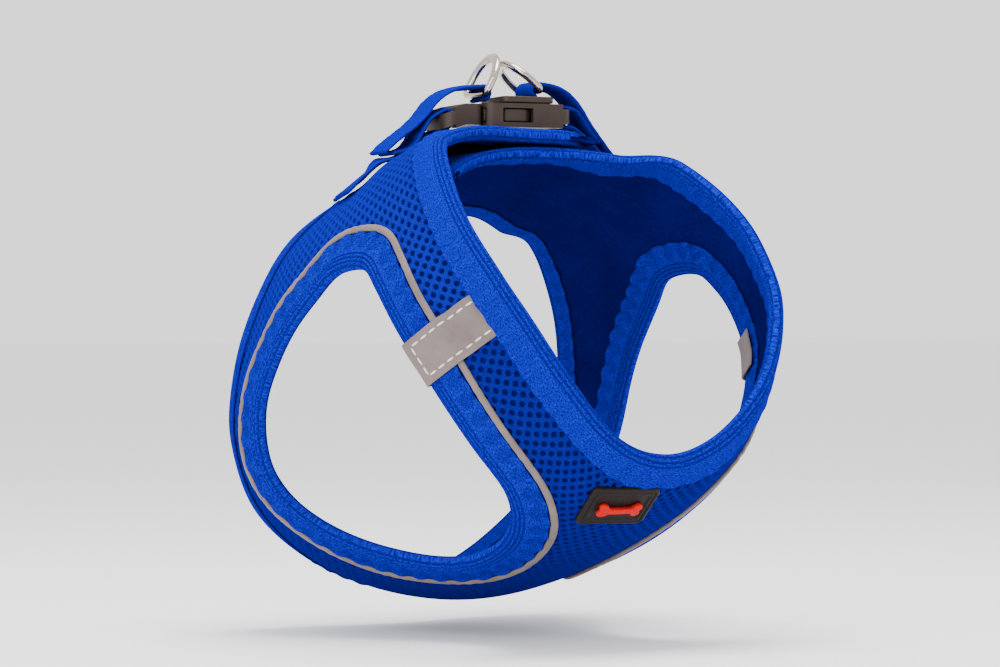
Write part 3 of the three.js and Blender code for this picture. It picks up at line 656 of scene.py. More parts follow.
def binding_points(u, v, along, width, ribbed, pulled, closed, side):
    strip = march(u, v, width + 1, 0.5, closed, side)
    face = np.concatenate([np.linspace(0, 1, 7)[1:] ** 2 * 1.2, np.arange(1.5, width, 0.3), [width]])
    profile = np.sqrt(1 - (1 - np.minimum(face / 2.6, 1)) ** 2) * BINDING_HALF - 0.25 * smooth(face, 3, width)
    back = np.array([width - 0.15, width / 2, 3.0])
    distance = np.concatenate([face[::-1], [0], face, back, back[::-1]])
    swing = np.cos(2 * math.pi * along / ZIGZAG_PERIOD)[:, None]
    scallop = 0.3 * pulled * swing * smooth(distance, ribbed, width)
    moved = distance + scallop
    rows_u, rows_v = on_strip(strip, np.broadcast_to(moved, (len(u), len(distance))))
    n = len(face)
    wrinkle = relief(along[:, None], distance[None, :], width, ribbed, pulled)
    outer = BINDING_MIDDLE + profile[::-1] + wrinkle[:, :n]
    inner = BINDING_MIDDLE - profile - wrinkle[:, n + 1:2 * n + 1]
    fold = np.full((len(u), 1), BINDING_MIDDLE)
    hidden = np.broadcast_to([-1.15, -1.15, -1.0, 1.0, 1.5, 1.5], (len(u), 6))
    height = np.concatenate([outer, fold, inner, hidden], axis=1)
    around = np.cumsum(np.abs(np.diff(distance, prepend=0)))
    texture = np.stack(np.broadcast_arrays(along[:, None], around), -1)
    # Painted shade: crease is how deep each point lies in a rib groove or pucker; it darkens the elastic's
    # colour there.
    crease = np.clip(-wrinkle / np.where(distance < ribbed, 0.3, 0.6), 0, 1)
    return cloth(rows_u, rows_v, height), texture, crease


def capped(faces, rows, columns):
    caps = [list(range(columns)), [(rows - 1) * columns + k for k in range(columns)][::-1]]
    return [list(face) for face in faces] + caps


def binding(name, u, v, width, ribbed, pulled, closed, side, nodes):
    u, v, along, _ = even(u, v, 0.8, closed)
    points, texture, crease = binding_points(u, v, along, width, ribbed, pulled, closed, side)
    rows, columns = points.shape[:2]
    faces = grid_faces(rows, columns, closed, True)
    if not closed:
        faces = capped(faces, rows, columns)
    mesh = mesh_from(name, points, faces, texture, elastic)
    # The painted shade for rib grooves and puckers, kept as the crease attribute.
    crease_shade_layer = mesh.attributes.new("crease", "FLOAT", "POINT")
    crease_shade_layer.data.foreach_set("value", crease.astype(np.float32).ravel())
    faces_out(mesh)
    piece = make_object(name, mesh)
    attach(piece, "root")
    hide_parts(*nodes)
    return piece


elastic = new_material("folded_elastic", (0.003, 0.008, 0.35), 0.7, Specular_IOR_Level=0.0)
loops = textured(elastic, "ShaderNodeTexNoise", coordinates(elastic, "UV", (1.4, 3.2, 1)),
                 Scale=0.9, Detail=5.0, Roughness=0.65)
cords = textured(elastic, "ShaderNodeTexWave", coordinates(elastic, "UV"), Scale=0.62, Distortion=1.2,
                 bands_direction="X")
tint(elastic, loops, (0.4, (0.001, 0.0015, 0.11)), (0.6, (0.004, 0.015, 0.53)))
# Painted shade: the colour darkens towards near black in rib grooves and puckers, following the crease
# attribute.
paint_shade(elastic, "crease", (0.0005, 0.001, 0.05), 0.85)
bump(elastic, calculate(elastic, "ADD", loops, calculate(elastic, "MULTIPLY", cords, 0.25)), 0.0006, 0.7)

hole_u = {side: on_side(armhole_line[:, 0], side) for side in SIDES}
hole_turn = {"right": -1, "left": 1}
for side in SIDES:
    binding(f"{side}_armhole_elastic", hole_u[side], armhole_line[:, 1], *ARMHOLE_ELASTIC, True,
            hole_turn[side], [f"{side}_armhole_binding"])

CORNER = 18
NECK_GIRTH = 420


def flap_corner(side, count=14):
    ends = skin(np.full(2, FLAP_END[side]), np.array([0.0, 1.0]))
    reach_v, reach_u = CORNER / np.linalg.norm(ends[1] - ends[0]), CORNER / NECK_GIRTH
    turn = np.linspace(0, math.pi / 2, count)
    return FLAP_END[side] + reach_u * (1 - np.sin(turn)), reach_v * (1 - np.cos(turn))


corner_u, corner_v = flap_corner("right")
start_u = np.concatenate([np.full(5, FLAP_END["right"]), corner_u[::-1]])
start_v = np.concatenate([np.linspace(0.8, corner_v[-1], 6)[:-1], corner_v[::-1]])
corner_u, corner_v = flap_corner("left")
end_u = 1 - np.concatenate([corner_u, np.full(5, FLAP_END["left"])])
end_v = np.concatenate([corner_v, np.linspace(corner_v[-1], 0.8, 6)[1:]])
middle_u = np.linspace(start_u[-1], end_u[0], 300)[1:-1]
neck_line = (np.concatenate([start_u, middle_u, end_u]),
             np.concatenate([start_v, np.zeros(len(middle_u)), end_v]))
binding("neck_elastic", *neck_line, *NECK_ELASTIC, False, -1,
        ["neck_binding", "right_flap_binding", "left_flap_binding"])
rear_u = np.linspace(FLAP_END["right"], 1 - FLAP_END["left"], 300)
binding("rear_elastic", rear_u, np.ones(300), *REAR_ELASTIC, False, 1, ["rear_binding"])

# ---- Seam thread on the bindings -----------------------------------------------------------------------
# Twisted polyester thread in the vest's own blue. A zig-zag machine seam runs round both armhole bindings and
# the neck binding and shows on the outer and on the inner face.
def tube_points(path, normals, across_radius, up_radius, sides, closed=False):
    ahead = np.roll(path, -1, 0) - np.roll(path, 1, 0) if closed else np.gradient(path, axis=0)
    across = unit(np.cross(normals, unit(ahead)))
    up = unit(np.cross(unit(ahead), across))
    angle = np.arange(sides) * 2 * math.pi / sides
    return (path[:, None] + across[:, None] * across_radius * np.cos(angle)[None, :, None]
            + up[:, None] * up_radius * np.sin(angle)[None, :, None])


def tube_mesh(name, path, normals, across_radius, up_radius, sides, material, closed=False):
    points = tube_points(path, normals, across_radius, up_radius, sides, closed)
    faces = grid_faces(len(path), sides, closed, True)
    if not closed:
        faces = capped(faces, len(path), sides)
    mesh = mesh_from(name, points, faces, None, material)
    faces_out(mesh)
    return mesh


def joined(name, meshes):
    work = bmesh.new()
    for mesh in meshes:
        work.from_mesh(mesh)
    result = meshes[0]
    work.to_mesh(result)
    work.free()
    for mesh in meshes[1:]:
        bpy.data.meshes.remove(mesh)
    result.name = name
    result.shade_smooth()
    return result


thread = new_material("polyester_thread", (0.003, 0.008, 0.3), 0.6, Specular_IOR_Level=0.0)
twist = textured(thread, "ShaderNodeTexNoise", coordinates(thread), Scale=4000.0, Detail=2.0)
tint(thread, twist, (0.35, (0.001, 0.002, 0.16)), (0.65, (0.004, 0.012, 0.42)))
bump(thread, twist, 0.0001, 0.5)


def zigzag(name, u, v, width, ribbed, pulled, closed, side, inner=False):
    u, v, along, total = even(u, v, 0.8, closed)
    strip = march(u, v, width + 1, 0.5, closed, side)
    low, high = ribbed + 1.1, width - 1.4
    at = np.arange(1.5, total - 1.5, 0.55)
    phase = (at / ZIGZAG_PERIOD) % 1
    distance = low + (high - low) * np.abs(2 * phase - 1)
    place = np.interp(at, along, np.arange(len(along)))
    lines_u, lines_v = on_strip(strip, np.broadcast_to(distance, (len(u), len(at))))
    k = np.clip(np.floor(place).astype(int), 0, len(u) - 2)
    f = place - k
    column = np.arange(len(at))
    line_u = (1 - f) * lines_u[k, column] + f * lines_u[k + 1, column]
    line_v = (1 - f) * lines_v[k, column] + f * lines_v[k + 1, column]
    height = BINDING_MIDDLE + (1 - 2 * inner) * (BINDING_HALF - 0.2 - PUCKER_DEPTH * 0.7 * pulled)
    path = cloth(line_u, line_v, np.full(len(at), height))
    return tube_mesh(name, path, skin_normal(line_u, line_v), 0.3, 0.22, 5, thread)


for side in SIDES:
    faces_of_seam = [zigzag(f"{side}_seam_{inner}", hole_u[side], armhole_line[:, 1], *ARMHOLE_ELASTIC, True,
                            hole_turn[side], inner) for inner in (False, True)]
    piece = make_object(f"{side}_armhole_seam_thread", joined(f"{side}_armhole_seam_thread", faces_of_seam))
    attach(piece, "root")
faces_of_seam = [zigzag(f"neck_seam_{inner}", *neck_line, *NECK_ELASTIC, False, -1, inner)
                 for inner in (False, True)]
piece = make_object("neck_seam_thread", joined("neck_seam_thread", faces_of_seam))
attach(piece, "root")

# ---- Reflective piping ---------------------------------------------------------------------------------
# A flat cord covered with grey reflective tape, laid beside each armhole's binding and caught in its seam.
PIPING_MIDDLE = 14.1
PIPING_HEIGHT = 1.75
PIPING_RADII = (1.25, 0.75)
reflective = new_material("reflective_tape", (0.2, 0.165, 0.15), 0.5, Specular_IOR_Level=0.15)
beads = textured(reflective, "ShaderNodeTexNoise", coordinates(reflective), Scale=6000.0, Detail=2.0)
scuffs = textured(reflective, "ShaderNodeTexNoise", coordinates(reflective), Scale=140.0, Detail=5.0)
tint(reflective, calculate(reflective, "ADD", calculate(reflective, "MULTIPLY", beads, 0.4),
                           calculate(reflective, "MULTIPLY", scuffs, 0.6)),
     (0.3, (0.115, 0.088, 0.082)), (0.7, (0.2, 0.16, 0.15)))
bump(reflective, beads, 0.0001, 0.4)

for side in SIDES:
    u, v, along, total = even(hole_u[side], armhole_line[:, 1], 0.8, True)
    strip = march(u, v, PIPING_MIDDLE + 1, 0.5, True, hole_turn[side])
    wander = PIPING_MIDDLE + 0.25 * np.sin(along / 9) * np.sin(along / 23)
    line_u, line_v = on_strip(strip, wander[:, None])
    line_u, line_v = line_u[:, 0], line_v[:, 0]
    crease = 0.1 * np.sin(along * 1.9) * np.sin(along / 7) ** 2
    path = cloth(line_u, line_v, PIPING_HEIGHT + crease)
    mesh = tube_mesh(f"{side}_piping_cord", path, skin_normal(line_u, line_v), *PIPING_RADII, 12,
                     reflective, True)
    piece = make_object(f"{side}_piping_cord", mesh)
    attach(piece, "root")
    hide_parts(f"{side}_piping")

# ---- Shoulder tabs -------------------------------------------------------------------------------------
# Grey reflective tape over the shoulder seam, folded round the armhole's edge and tucked under the neck
# binding. White lock-stitches run a little inside three of its edges.
TAB_WIDTH = 15.0
TAB_TOP = 3.35
TAB_THICKNESS = 0.55
TAB_ANGLE = math.radians(-96.3)
TAB_NECK = 0.2725
STITCH_PITCH = 3.8
STITCH_LENGTH = 2.9
STITCH_WIDTH = 0.74
STITCH_INSET = 2.3


def stitch_tree():
    tree = bpy.data.node_groups.new("lock_stitches", "GeometryNodeTree")
    tree.interface.new_socket("Geometry", in_out="INPUT", socket_type="NodeSocketGeometry")
    for label in ("Length", "Thickness"):
        tree.interface.new_socket(label, in_out="INPUT", socket_type="NodeSocketFloat")
    tree.interface.new_socket("Thread", in_out="INPUT", socket_type="NodeSocketMaterial")
    tree.interface.new_socket("Geometry", in_out="OUTPUT", socket_type="NodeSocketGeometry")
    nodes, link = tree.nodes, tree.links.new
    given, result = nodes.new("NodeGroupInput"), nodes.new("NodeGroupOutput")
    bead = nodes.new("GeometryNodeMeshUVSphere")
    bead.inputs["Segments"].default_value = 6
    bead.inputs["Rings"].default_value = 5
    bead.inputs["Radius"].default_value = 0.5
    shape = nodes.new("ShaderNodeCombineXYZ")
    link(given.outputs["Thickness"], shape.inputs["X"])
    link(given.outputs["Thickness"], shape.inputs["Y"])
    link(given.outputs["Length"], shape.inputs["Z"])
    aim = nodes.new("GeometryNodeInputNamedAttribute")
    aim.data_type = "FLOAT_VECTOR"
    aim.inputs["Name"].default_value = "aim"
    turned = nodes.new("FunctionNodeAlignRotationToVector")
    turned.axis = "Z"
    link(aim.outputs["Attribute"], turned.inputs["Vector"])
    spread = nodes.new("GeometryNodeInstanceOnPoints")
    link(given.outputs["Geometry"], spread.inputs["Points"])
    link(bead.outputs["Mesh"], spread.inputs["Instance"])
    link(turned.outputs["Rotation"], spread.inputs["Rotation"])
    link(shape.outputs["Vector"], spread.inputs["Scale"])
    real = nodes.new("GeometryNodeRealizeInstances")
    link(spread.outputs["Instances"], real.inputs["Geometry"])
    soft = nodes.new("GeometryNodeSetShadeSmooth")
    link(real.outputs["Geometry"], soft.inputs["Geometry"])
    finish = nodes.new("GeometryNodeSetMaterial")
    link(soft.outputs["Geometry"], finish.inputs["Geometry"])
    link(given.outputs["Thread"], finish.inputs["Material"])
    link(finish.outputs["Geometry"], result.inputs["Geometry"])
    return tree


lock_stitches = stitch_tree()


def stitched(name, lines, pitch, length, thickness, material):
    places, aims = [], []
    for line in lines:
        run = np.concatenate([[0], np.cumsum(np.linalg.norm(np.diff(line, axis=0), axis=1))])
        count = max(1, int(round(run[-1] / pitch)))
        at = (np.arange(count) + 0.5) * run[-1] / count
        middle, before, after = (np.stack([np.interp(at + d, run, line[:, k]) for k in range(3)], 1)
                                 for d in (0, -length / 2, length / 2))
        places.append(middle)
        aims.append(after - before)
    mesh = bpy.data.meshes.new(f"{name}_places")
    mesh.from_pydata((np.concatenate(places) * MM).tolist(), [], [])
    aim = mesh.attributes.new("aim", "FLOAT_VECTOR", "POINT")
    aim.data.foreach_set("vector", np.concatenate(aims).astype(np.float32).ravel())
    return grown(name, mesh, lock_stitches, {"Length": length * MM, "Thickness": thickness * MM,
                                             "Thread": material})


white_thread = new_material("white_thread", (0.62, 0.6, 0.57), 0.6, Specular_IOR_Level=0.2)
fibre = textured(white_thread, "ShaderNodeTexNoise", coordinates(white_thread), Scale=5000.0, Detail=2.0)
tint(white_thread, fibre, (0.3, (0.5, 0.48, 0.46)), (0.7, (0.75, 0.73, 0.7)))
bump(white_thread, fibre, 0.0001, 0.4)


def shoulder_tab(side):
    reach = armhole_radius(TAB_ANGLE)
    start = ARMHOLE_CENTRE + reach * np.array([math.cos(TAB_ANGLE), math.sin(TAB_ANGLE)])
    seam = (np.array(on_side(start[0], side)), np.array(start[1]))
    neck = (np.array(on_side(TAB_NECK, side)), np.array(0.0))
    u, v, along, total = even(hole_u[side], armhole_line[:, 1], 0.5, True)
    nearest = np.argmin(np.linalg.norm(cloth(u, v) - cloth(*seam), axis=1))
    across = np.linspace(-TAB_WIDTH / 2, TAB_WIDTH / 2, 41)
    at = (along[nearest] + across) % total
    edge_u, edge_v = np.interp(at, along, u), np.interp(at, along, v)
    towards = unit(cloth(*neck) - cloth(*seam))
    length = np.linalg.norm(cloth(*neck) - cloth(*seam)) - 12
    flat = np.arange(1.0, length + 2.5, 0.8)
    drop = 1.3 * smooth(flat, 15.5, 19.5) + 0.6 * smooth(flat, length - 3, length)
    fold = [(0.5, TAB_TOP - 0.15), (0.0, TAB_TOP - 0.55), (-0.6, TAB_TOP - 1.4), (-0.85, 0.9), (-0.85, -0.5),
            (-0.6, -1.9), (0.0, -2.7), (0.6, -3.0), (1.6, -3.1)]
    inside = np.arange(2.5, 10.5, 0.8)
    outer = [*zip(flat[::-1], (TAB_TOP - drop)[::-1]), *fold, *((d, -3.1) for d in inside)]
    outer = np.array(outer)
    step_along = np.gradient(outer, axis=0)
    facing = np.stack([-step_along[:, 1], step_along[:, 0]], 1)
    facing /= np.linalg.norm(facing, axis=1, keepdims=True)
    thin = outer + facing * TAB_THICKNESS
    section = np.concatenate([outer, thin[::-1]])
    rows = []
    pace = 0.5
    lines = [(edge_u, edge_v)]
    for _ in range(int((length + 4) / pace)):
        lines.append(step(*lines[-1], towards, pace))
    back = [step(edge_u, edge_v, towards, -pace * (k + 1)) for k in range(3)]
    track = np.array([*back[::-1], *lines])
    place = np.clip(section[:, 0] / pace + 3, 0, len(track) - 1.001)
    k = np.floor(place).astype(int)
    f = (place - k)[:, None]
    spot = track[k].transpose(0, 2, 1) * (1 - f[..., None]) + track[k + 1].transpose(0, 2, 1) * f[..., None]
    bulge = 0.12 * np.sin(across / 2.2)[None, :] * np.cos(section[:, 0] / 3)[:, None]
    height = section[:, 1][:, None] + bulge
    points = cloth(spot[..., 0], spot[..., 1], height).transpose(1, 0, 2)

    def on_top(distance, sideways):
        row = np.interp(sideways, across, np.arange(len(across)))
        column = len(flat) - 1 - np.interp(distance, flat, np.arange(len(flat)))
        r, c = np.floor(row).astype(int), np.floor(column).astype(int)
        r, c = np.minimum(r, len(across) - 2), np.minimum(c, len(flat) - 2)
        a, b = (row - r)[:, None], (column - c)[:, None]
        top = points[:, :len(flat)]
        return ((1 - a) * (1 - b) * top[r, c] + a * (1 - b) * top[r + 1, c]
                + (1 - a) * b * top[r, c + 1] + a * b * top[r + 1, c + 1])

    return points, on_top, length


for side in SIDES:
    points, on_top, length = shoulder_tab(side)
    rows, columns = points.shape[:2]
    tab_faces = capped(grid_faces(rows, columns, False, True), rows, columns)
    mesh = mesh_from(f"{side}_tab", points, tab_faces, None, reflective)
    faces_out(mesh)
    piece = make_object(f"{side}_reflective_tab", mesh)
    edge = piece.modifiers.new("soft_edge", "BEVEL")
    edge.width = 0.12 * MM
    edge.segments = 2
    edge.limit_method = "ANGLE"
    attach(piece, "root")
    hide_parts(f"{side}_shoulder_tab")
    inset = TAB_WIDTH / 2 - STITCH_INSET
    run = np.linspace(3.2, length + 0.5, 30)
    sideways = np.linspace(-inset, inset, 12)
    lines = [on_top(run, np.full(30, -inset)), on_top(run, np.full(30, inset)),
             on_top(np.full(12, 3.2), sideways)]
    piece = stitched(f"{side}_tab_stitches", lines, STITCH_PITCH, STITCH_LENGTH, STITCH_WIDTH, white_thread)
    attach(piece, "root")

# ---- Badge ---------------------------------------------------------------------------------------------
# A moulded dark rubber label with a raised rim, sewn to the chest beside the neck binding. Its raised red
# bone stands in the place of lettering.
BADGE_PLACE = (0.489, 0.225)
BADGE_LENGTH = 24.0
BADGE_WIDTH = 18.5
BADGE_TURN = math.radians(-10)
BADGE_SHIFT = (-5.5, -3.5)
BADGE_CORNER = 2.4
BADGE_RINGS = [
    (0, 0.9), (0, 2.3), (0.25, 2.8), (0.7, 3.0), (1.2, 2.85), (1.5, 2.45), (1.75, 2.4), (2.1, 2.75),
    (2.5, 2.9), (2.9, 2.75), (3.2, 2.3), (4.2, 2.3),
]

rubber = new_material("moulded_rubber", (0.012, 0.008, 0.007), 0.55, Specular_IOR_Level=0.15)
grain = textured(rubber, "ShaderNodeTexNoise", coordinates(rubber), Scale=2500.0, Detail=4.0)
tint(rubber, grain, (0.3, (0.004, 0.0025, 0.002)), (0.7, (0.014, 0.009, 0.0075)))
bump(rubber, grain, 0.00012, 0.5)
red_rubber = new_material("red_rubber", (0.55, 0.003, 0.004), 0.55, Specular_IOR_Level=0.05)
dust = textured(red_rubber, "ShaderNodeTexNoise", coordinates(red_rubber), Scale=1800.0, Detail=4.0)
tint(red_rubber, dust, (0.3, (0.4, 0.002, 0.003)), (0.7, (0.62, 0.004, 0.005)))
bump(red_rubber, dust, 0.00012, 0.5)

centre = tuple(np.array(x) for x in BADGE_PLACE)
badge_along, badge_across = (unit(side) for side in slopes(skin, *centre))


def on_badge(a, b, height):
    c, s = math.cos(BADGE_TURN), math.sin(BADGE_TURN)
    a, b = BADGE_SHIFT[0] + a * c - b * s, BADGE_SHIFT[1] + a * s + b * c
    u, v = np.full(np.shape(a), BADGE_PLACE[0]), np.full(np.shape(a), BADGE_PLACE[1])
    for _ in range(10):
        u, v = step(u, v, badge_along, a / 10)
    for _ in range(10):
        u, v = step(u, v, badge_across, b / 10)
    return cloth(u, v, height)


def rounded_rectangle(half_a, half_b, radius, steps=10):
    corner = np.linspace(0, math.pi / 2, steps)
    outline = []
    for quarter, (sa, sb) in enumerate(((1, 1), (-1, 1), (-1, -1), (1, -1))):
        turn = corner + quarter * math.pi / 2
        outline.append(np.stack([sa * (half_a - radius) + radius * np.cos(turn),
                                 sb * (half_b - radius) + radius * np.sin(turn)], 1))
    return np.concatenate(outline)


def ringed(name, rings, material, place):
    count = len(rings[0][0])
    points = [place(outline[:, 0], outline[:, 1], np.full(count, float(height))) for outline, height in rings]
    faces = grid_faces(len(rings), count, False, True)
    mesh = mesh_from(name, np.concatenate(points), capped(faces, len(rings), count), None, material)
    faces_out(mesh)
    return mesh


rings = []
for inset, height in BADGE_RINGS:
    radius = max(BADGE_CORNER - inset, 0.5)
    rings.append((rounded_rectangle(BADGE_LENGTH / 2 - inset, BADGE_WIDTH / 2 - inset, radius), height))
piece = make_object("rubber_badge", ringed("rubber_badge", rings, rubber, on_badge))
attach(piece, "root")
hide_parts("badge")

BONE_QUARTER = np.array([
    [0, 1.1], [2, 1.1], [3.8, 1.2], [4.5, 2.1], [5.5, 2.8], [6.7, 2.7], [7.4, 1.9], [7.3, 0.9], [6.8, 0]])
quarter = np.concatenate([catmull_rom(np.linspace(0, 1, 5)[:-1, None], *(BONE_QUARTER[np.clip(k + d, 0, 8)]
                                                                         for d in (-1, 0, 1, 2)))
                          for k in range(8)] + [BONE_QUARTER[-1:]])
outline = np.concatenate([quarter[::-1] * (1, 1), quarter[1:] * (-1, 1), quarter[::-1][1:] * (-1, -1),
                          quarter[1:-1] * (1, -1)])
rings = [(outline * (1, 1), 2.2), (outline * (1, 1), 3.3), (outline * (0.98, 0.92), 3.6),
         (outline * (0.94, 0.7), 3.7), (outline * (0.9, 0.3), 3.75)]
piece = make_object("red_bone", ringed("red_bone", rings, red_rubber, on_badge))
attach(piece, "root")
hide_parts("badge_emblem")

# ---- Hook and loop patches -----------------------------------------------------------------------------
# Dark touch fastener between the overlapping flaps: a hook patch under the right one and a loop patch on
# the left one.
PATCH_REACH = ((-0.05, 0.05), (0.34, 0.8))


def patch(name, low, high, material, n=30):
    u, v = np.meshgrid(*(np.linspace(*reach, n) for reach in PATCH_REACH), indexing="ij")
    rim = np.minimum.reduce([np.arange(n), np.arange(n)[::-1]])
    round_off = 0.25 * ((rim[:, None] == 0) | (rim[None, :] == 0))
    height = skin_normal(u, v) * high - skin_normal(u, v) * round_off[..., None]
    top = skin(u, v) + height
    bottom = skin(u, v) + skin_normal(u, v) * low
    quads = grid_faces(n, n)
    border = ([i * n for i in range(n)] + [(n - 1) * n + j for j in range(1, n)]
              + [i * n + n - 1 for i in range(n - 2, -1, -1)] + [*range(n - 2, 0, -1)])
    walls = [[a, b, b + n * n, a + n * n] for a, b in zip(border, border[1:] + border[:1])]
    mesh = mesh_from(name, np.concatenate([top.reshape(-1, 3), bottom.reshape(-1, 3)]),
                     [*quads.tolist(), *(quads[:, ::-1] + n * n).tolist(), *walls], None, material)
    faces_out(mesh)
    return make_object(name, mesh)


fastener = new_material("touch_fastener", (0.012, 0.012, 0.014), 0.95, Specular_IOR_Level=0.1)
pile = textured(fastener, "ShaderNodeTexNoise", coordinates(fastener), Scale=1500.0, Detail=5.0)
tint(fastener, pile, (0.3, (0.006, 0.006, 0.008)), (0.7, (0.022, 0.022, 0.026)))
bump(fastener, pile, 0.0006, 0.8)
PATCHES = [("hook_patch", "hook_strip", -2.4, -1.5), ("loop_patch", "loop_strip", -3.6, -2.7)]
for name, node, low, high in PATCHES:
    piece = patch(name, low, high, fastener)
    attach(piece, "root")
    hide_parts(node)

# ---- Straps --------------------------------------------------------------------------------------------
# Woven webbing, 15 mm wide. Each strap is tacked to its flap, runs round its bar on the buckle and comes
# back over itself. The left strap and its leash loop are attached to no body and stay where they are built.
WEB_WIDTH = 15.0
WEB_HALF = 0.65
WEB_RIB = 1.5
WEB_STEPS = 41
CLOSURE_PLACE = np.array([8.4, 14.0, 91.0])
CLOSURE_YAW = math.radians(-12)
BAR_CENTRE = 21.8
DROOP_FROM = -16.0
DROOP = 0.36


def closure(along, across, up):
    along, across, up = np.broadcast_arrays(along, across, up)
    c, s = math.cos(CLOSURE_YAW), math.sin(CLOSURE_YAW)
    return CLOSURE_PLACE + np.stack([along * c - across * s, along * s + across * c, up], -1)


def droop(along):
    return DROOP * np.minimum(along - DROOP_FROM, 0) * smooth(along, -46, -27)


def resting(along, across):
    target = closure(along, across, 0)
    u, v = np.zeros_like(target[..., 0]), np.full_like(target[..., 0], 0.45)
    for _ in range(14):
        point = skin(u, v)
        du, dv = slopes(skin, u, v)
        dx, dy = target[..., 0] - point[..., 0], target[..., 1] - point[..., 1]
        det = du[..., 0] * dv[..., 1] - dv[..., 0] * du[..., 1]
        u, v = (u + (dx * dv[..., 1] - dy * dv[..., 0]) / det, v + (dy * du[..., 0] - dx * du[..., 1]) / det)
    sunk = np.where(u < FLAP_END["right"] - 0.01, flap_height(u + 1, v), 0)
    return skin(u, v)[..., 2] - CLOSURE_PLACE[2] + (sunk + 2.35 + WEB_HALF) / skin_normal(u, v)[..., 2]


def arc(centre_along, centre_up, radius, start, end, count):
    turn = np.radians(np.linspace(start, end, count))
    return list(zip(centre_along + radius * np.cos(turn), centre_up + radius * np.sin(turn)))


def smooth_path(rows, per_span=12):
    padded = np.concatenate([2 * rows[:1] - rows[1:2], rows, 2 * rows[-1:] - rows[-2:-1]])
    f = (np.arange(per_span) / per_span).reshape(-1, *[1] * (rows.ndim - 1))
    spans = [catmull_rom(f, *(padded[k + d] for d in range(4))) for k in range(len(rows) - 1)]
    return np.concatenate([*spans, rows[-1:]])


def ribbon(path, drooping):
    across = np.linspace(-WEB_WIDTH / 2, WEB_WIDTH / 2, WEB_STEPS)
    rows = []
    for along, up in path:
        line = np.full(WEB_STEPS, float(along))
        lifted = resting(line, across) if up is None else np.full(WEB_STEPS, float(up))
        rows.append(np.stack([line, lifted], -1))
    rows = smooth_path(np.array(rows))
    if drooping:
        rows[..., 1] += droop(rows[..., 0])
    middle = rows[:, WEB_STEPS // 2]
    run = np.concatenate([[0], np.cumsum(np.linalg.norm(np.diff(middle, axis=0), axis=1))])
    at = np.linspace(0, run[-1], int(run[-1] / 0.4))
    place = np.interp(at, run, np.arange(len(run)))
    k = np.minimum(place.astype(int), len(run) - 2)
    f = (place - k)[:, None, None]
    rows = rows[k] * (1 - f) + rows[k + 1] * f
    ahead = unit(np.gradient(rows, axis=0))
    facing = np.stack([-ahead[..., 1], ahead[..., 0]], -1)
    chevron = across[None, :] / WEB_RIB + 0.5 * np.abs(2 * ((at[:, None] / 4.2) % 1) - 1)
    weave = 0.11 * np.cos(2 * math.pi * chevron) + 0.04 * np.cos(2 * math.pi * at[:, None] / 0.9)
    edge = 1 - (np.abs(across) / (WEB_WIDTH / 2)) ** 12 * 0.75
    half = (WEB_HALF * edge + weave * (np.abs(across) < WEB_WIDTH / 2 - 0.5))[..., None]
    return at, across, rows, facing, half


def webbing(name, path, drooping=False):
    at, across, rows, facing, half = ribbon(path, drooping)
    round_it, last = 2 * WEB_STEPS, WEB_STEPS - 1
    flat = np.concatenate([rows + facing * half, (rows - facing * half)[:, ::-1]], axis=1)
    sideways = np.concatenate([across, across[::-1]])
    points = closure(flat[..., 0], sideways, flat[..., 1])
    texture = np.stack(np.broadcast_arrays(at[:, None], np.arange(round_it) * 0.375), -1)
    quads = grid_faces(len(at), round_it, False, True).tolist()
    for base, flip in ((0, 1), ((len(at) - 1) * round_it, -1)):
        far = base + round_it - 1
        quads += [[base + k, base + k + 1, far - 1 - k, far - k][::flip] for k in range(last)]
    mesh = mesh_from(name, points, quads, texture, nylon)
    faces_out(mesh)

    def on_web(run, sideways, face):
        row = np.interp(run, at, np.arange(len(at)))
        column = np.interp(sideways, across, np.arange(WEB_STEPS))
        r, c = np.minimum(row.astype(int), len(at) - 2), np.minimum(column.astype(int), last - 1)
        a, b = (row - r)[:, None], (column - c)[:, None]
        lifted = rows + face * facing * half
        surface = closure(lifted[..., 0], across, lifted[..., 1])
        return ((1 - a) * (1 - b) * surface[r, c] + a * (1 - b) * surface[r + 1, c]
                + (1 - a) * b * surface[r, c + 1] + a * b * surface[r + 1, c + 1])

    return mesh, on_web, at[-1]


def bar_tack(on_web, run, face, width=12.5, teeth=17):
    sideways = np.linspace(-width / 2, width / 2, 2 * teeth)
    return on_web(run + 0.7 * (-1) ** np.arange(2 * teeth), sideways, face)


nylon = new_material("nylon_webbing", (0.003, 0.008, 0.3), 0.6, Specular_IOR_Level=0.0)
weft = textured(nylon, "ShaderNodeTexNoise", coordinates(nylon, "UV", (1.2, 2.4, 1)), Scale=1.8, Detail=4.0)
tint(nylon, weft, (0.35, (0.001, 0.002, 0.12)), (0.65, (0.004, 0.01, 0.38)))
bump(nylon, weft, 0.0002, 0.6)

lower_loop = arc(-BAR_CENTRE, 0, 3.3, -100, 100, 9)
RIGHT_PATH = [(-56, None), (-51, None), (-46, None), (-42, -14.6), (-38, -12), (-32, -8), (-26.5, -4.2),
              *lower_loop, (-27, 1.8), (-32, -5.3), (-36, -8.6), (-40, -11.3)]
LEFT_PATH = [(55, None), (51, None), (46, None), (41, -18.5), (34, -10.5), (26.5, -4.2),
             *((-along, up) for along, up in lower_loop), (27, 1.8), (32, -4.8), (35, -8.4)]
RIGHT_LOOP = [(-43, -13.2), (-39.5, -9.9), (-36, -7.2), (-32, -4.2), (-28, -0.4), (-24.5, 4.0), (-20, 7.4),
              (-15, 9), *arc(-7.5, 7.5, 2.3, 80, -70, 8)]
LEFT_LOOP = [(42, -15), (38.5, -10.8), (35, -6.4), (31.5, -1.8), (27.5, 4.2), (23, 8.4), (18, 10.4),
             *arc(12.5, 8.9, 2.3, 100, 250, 8)]
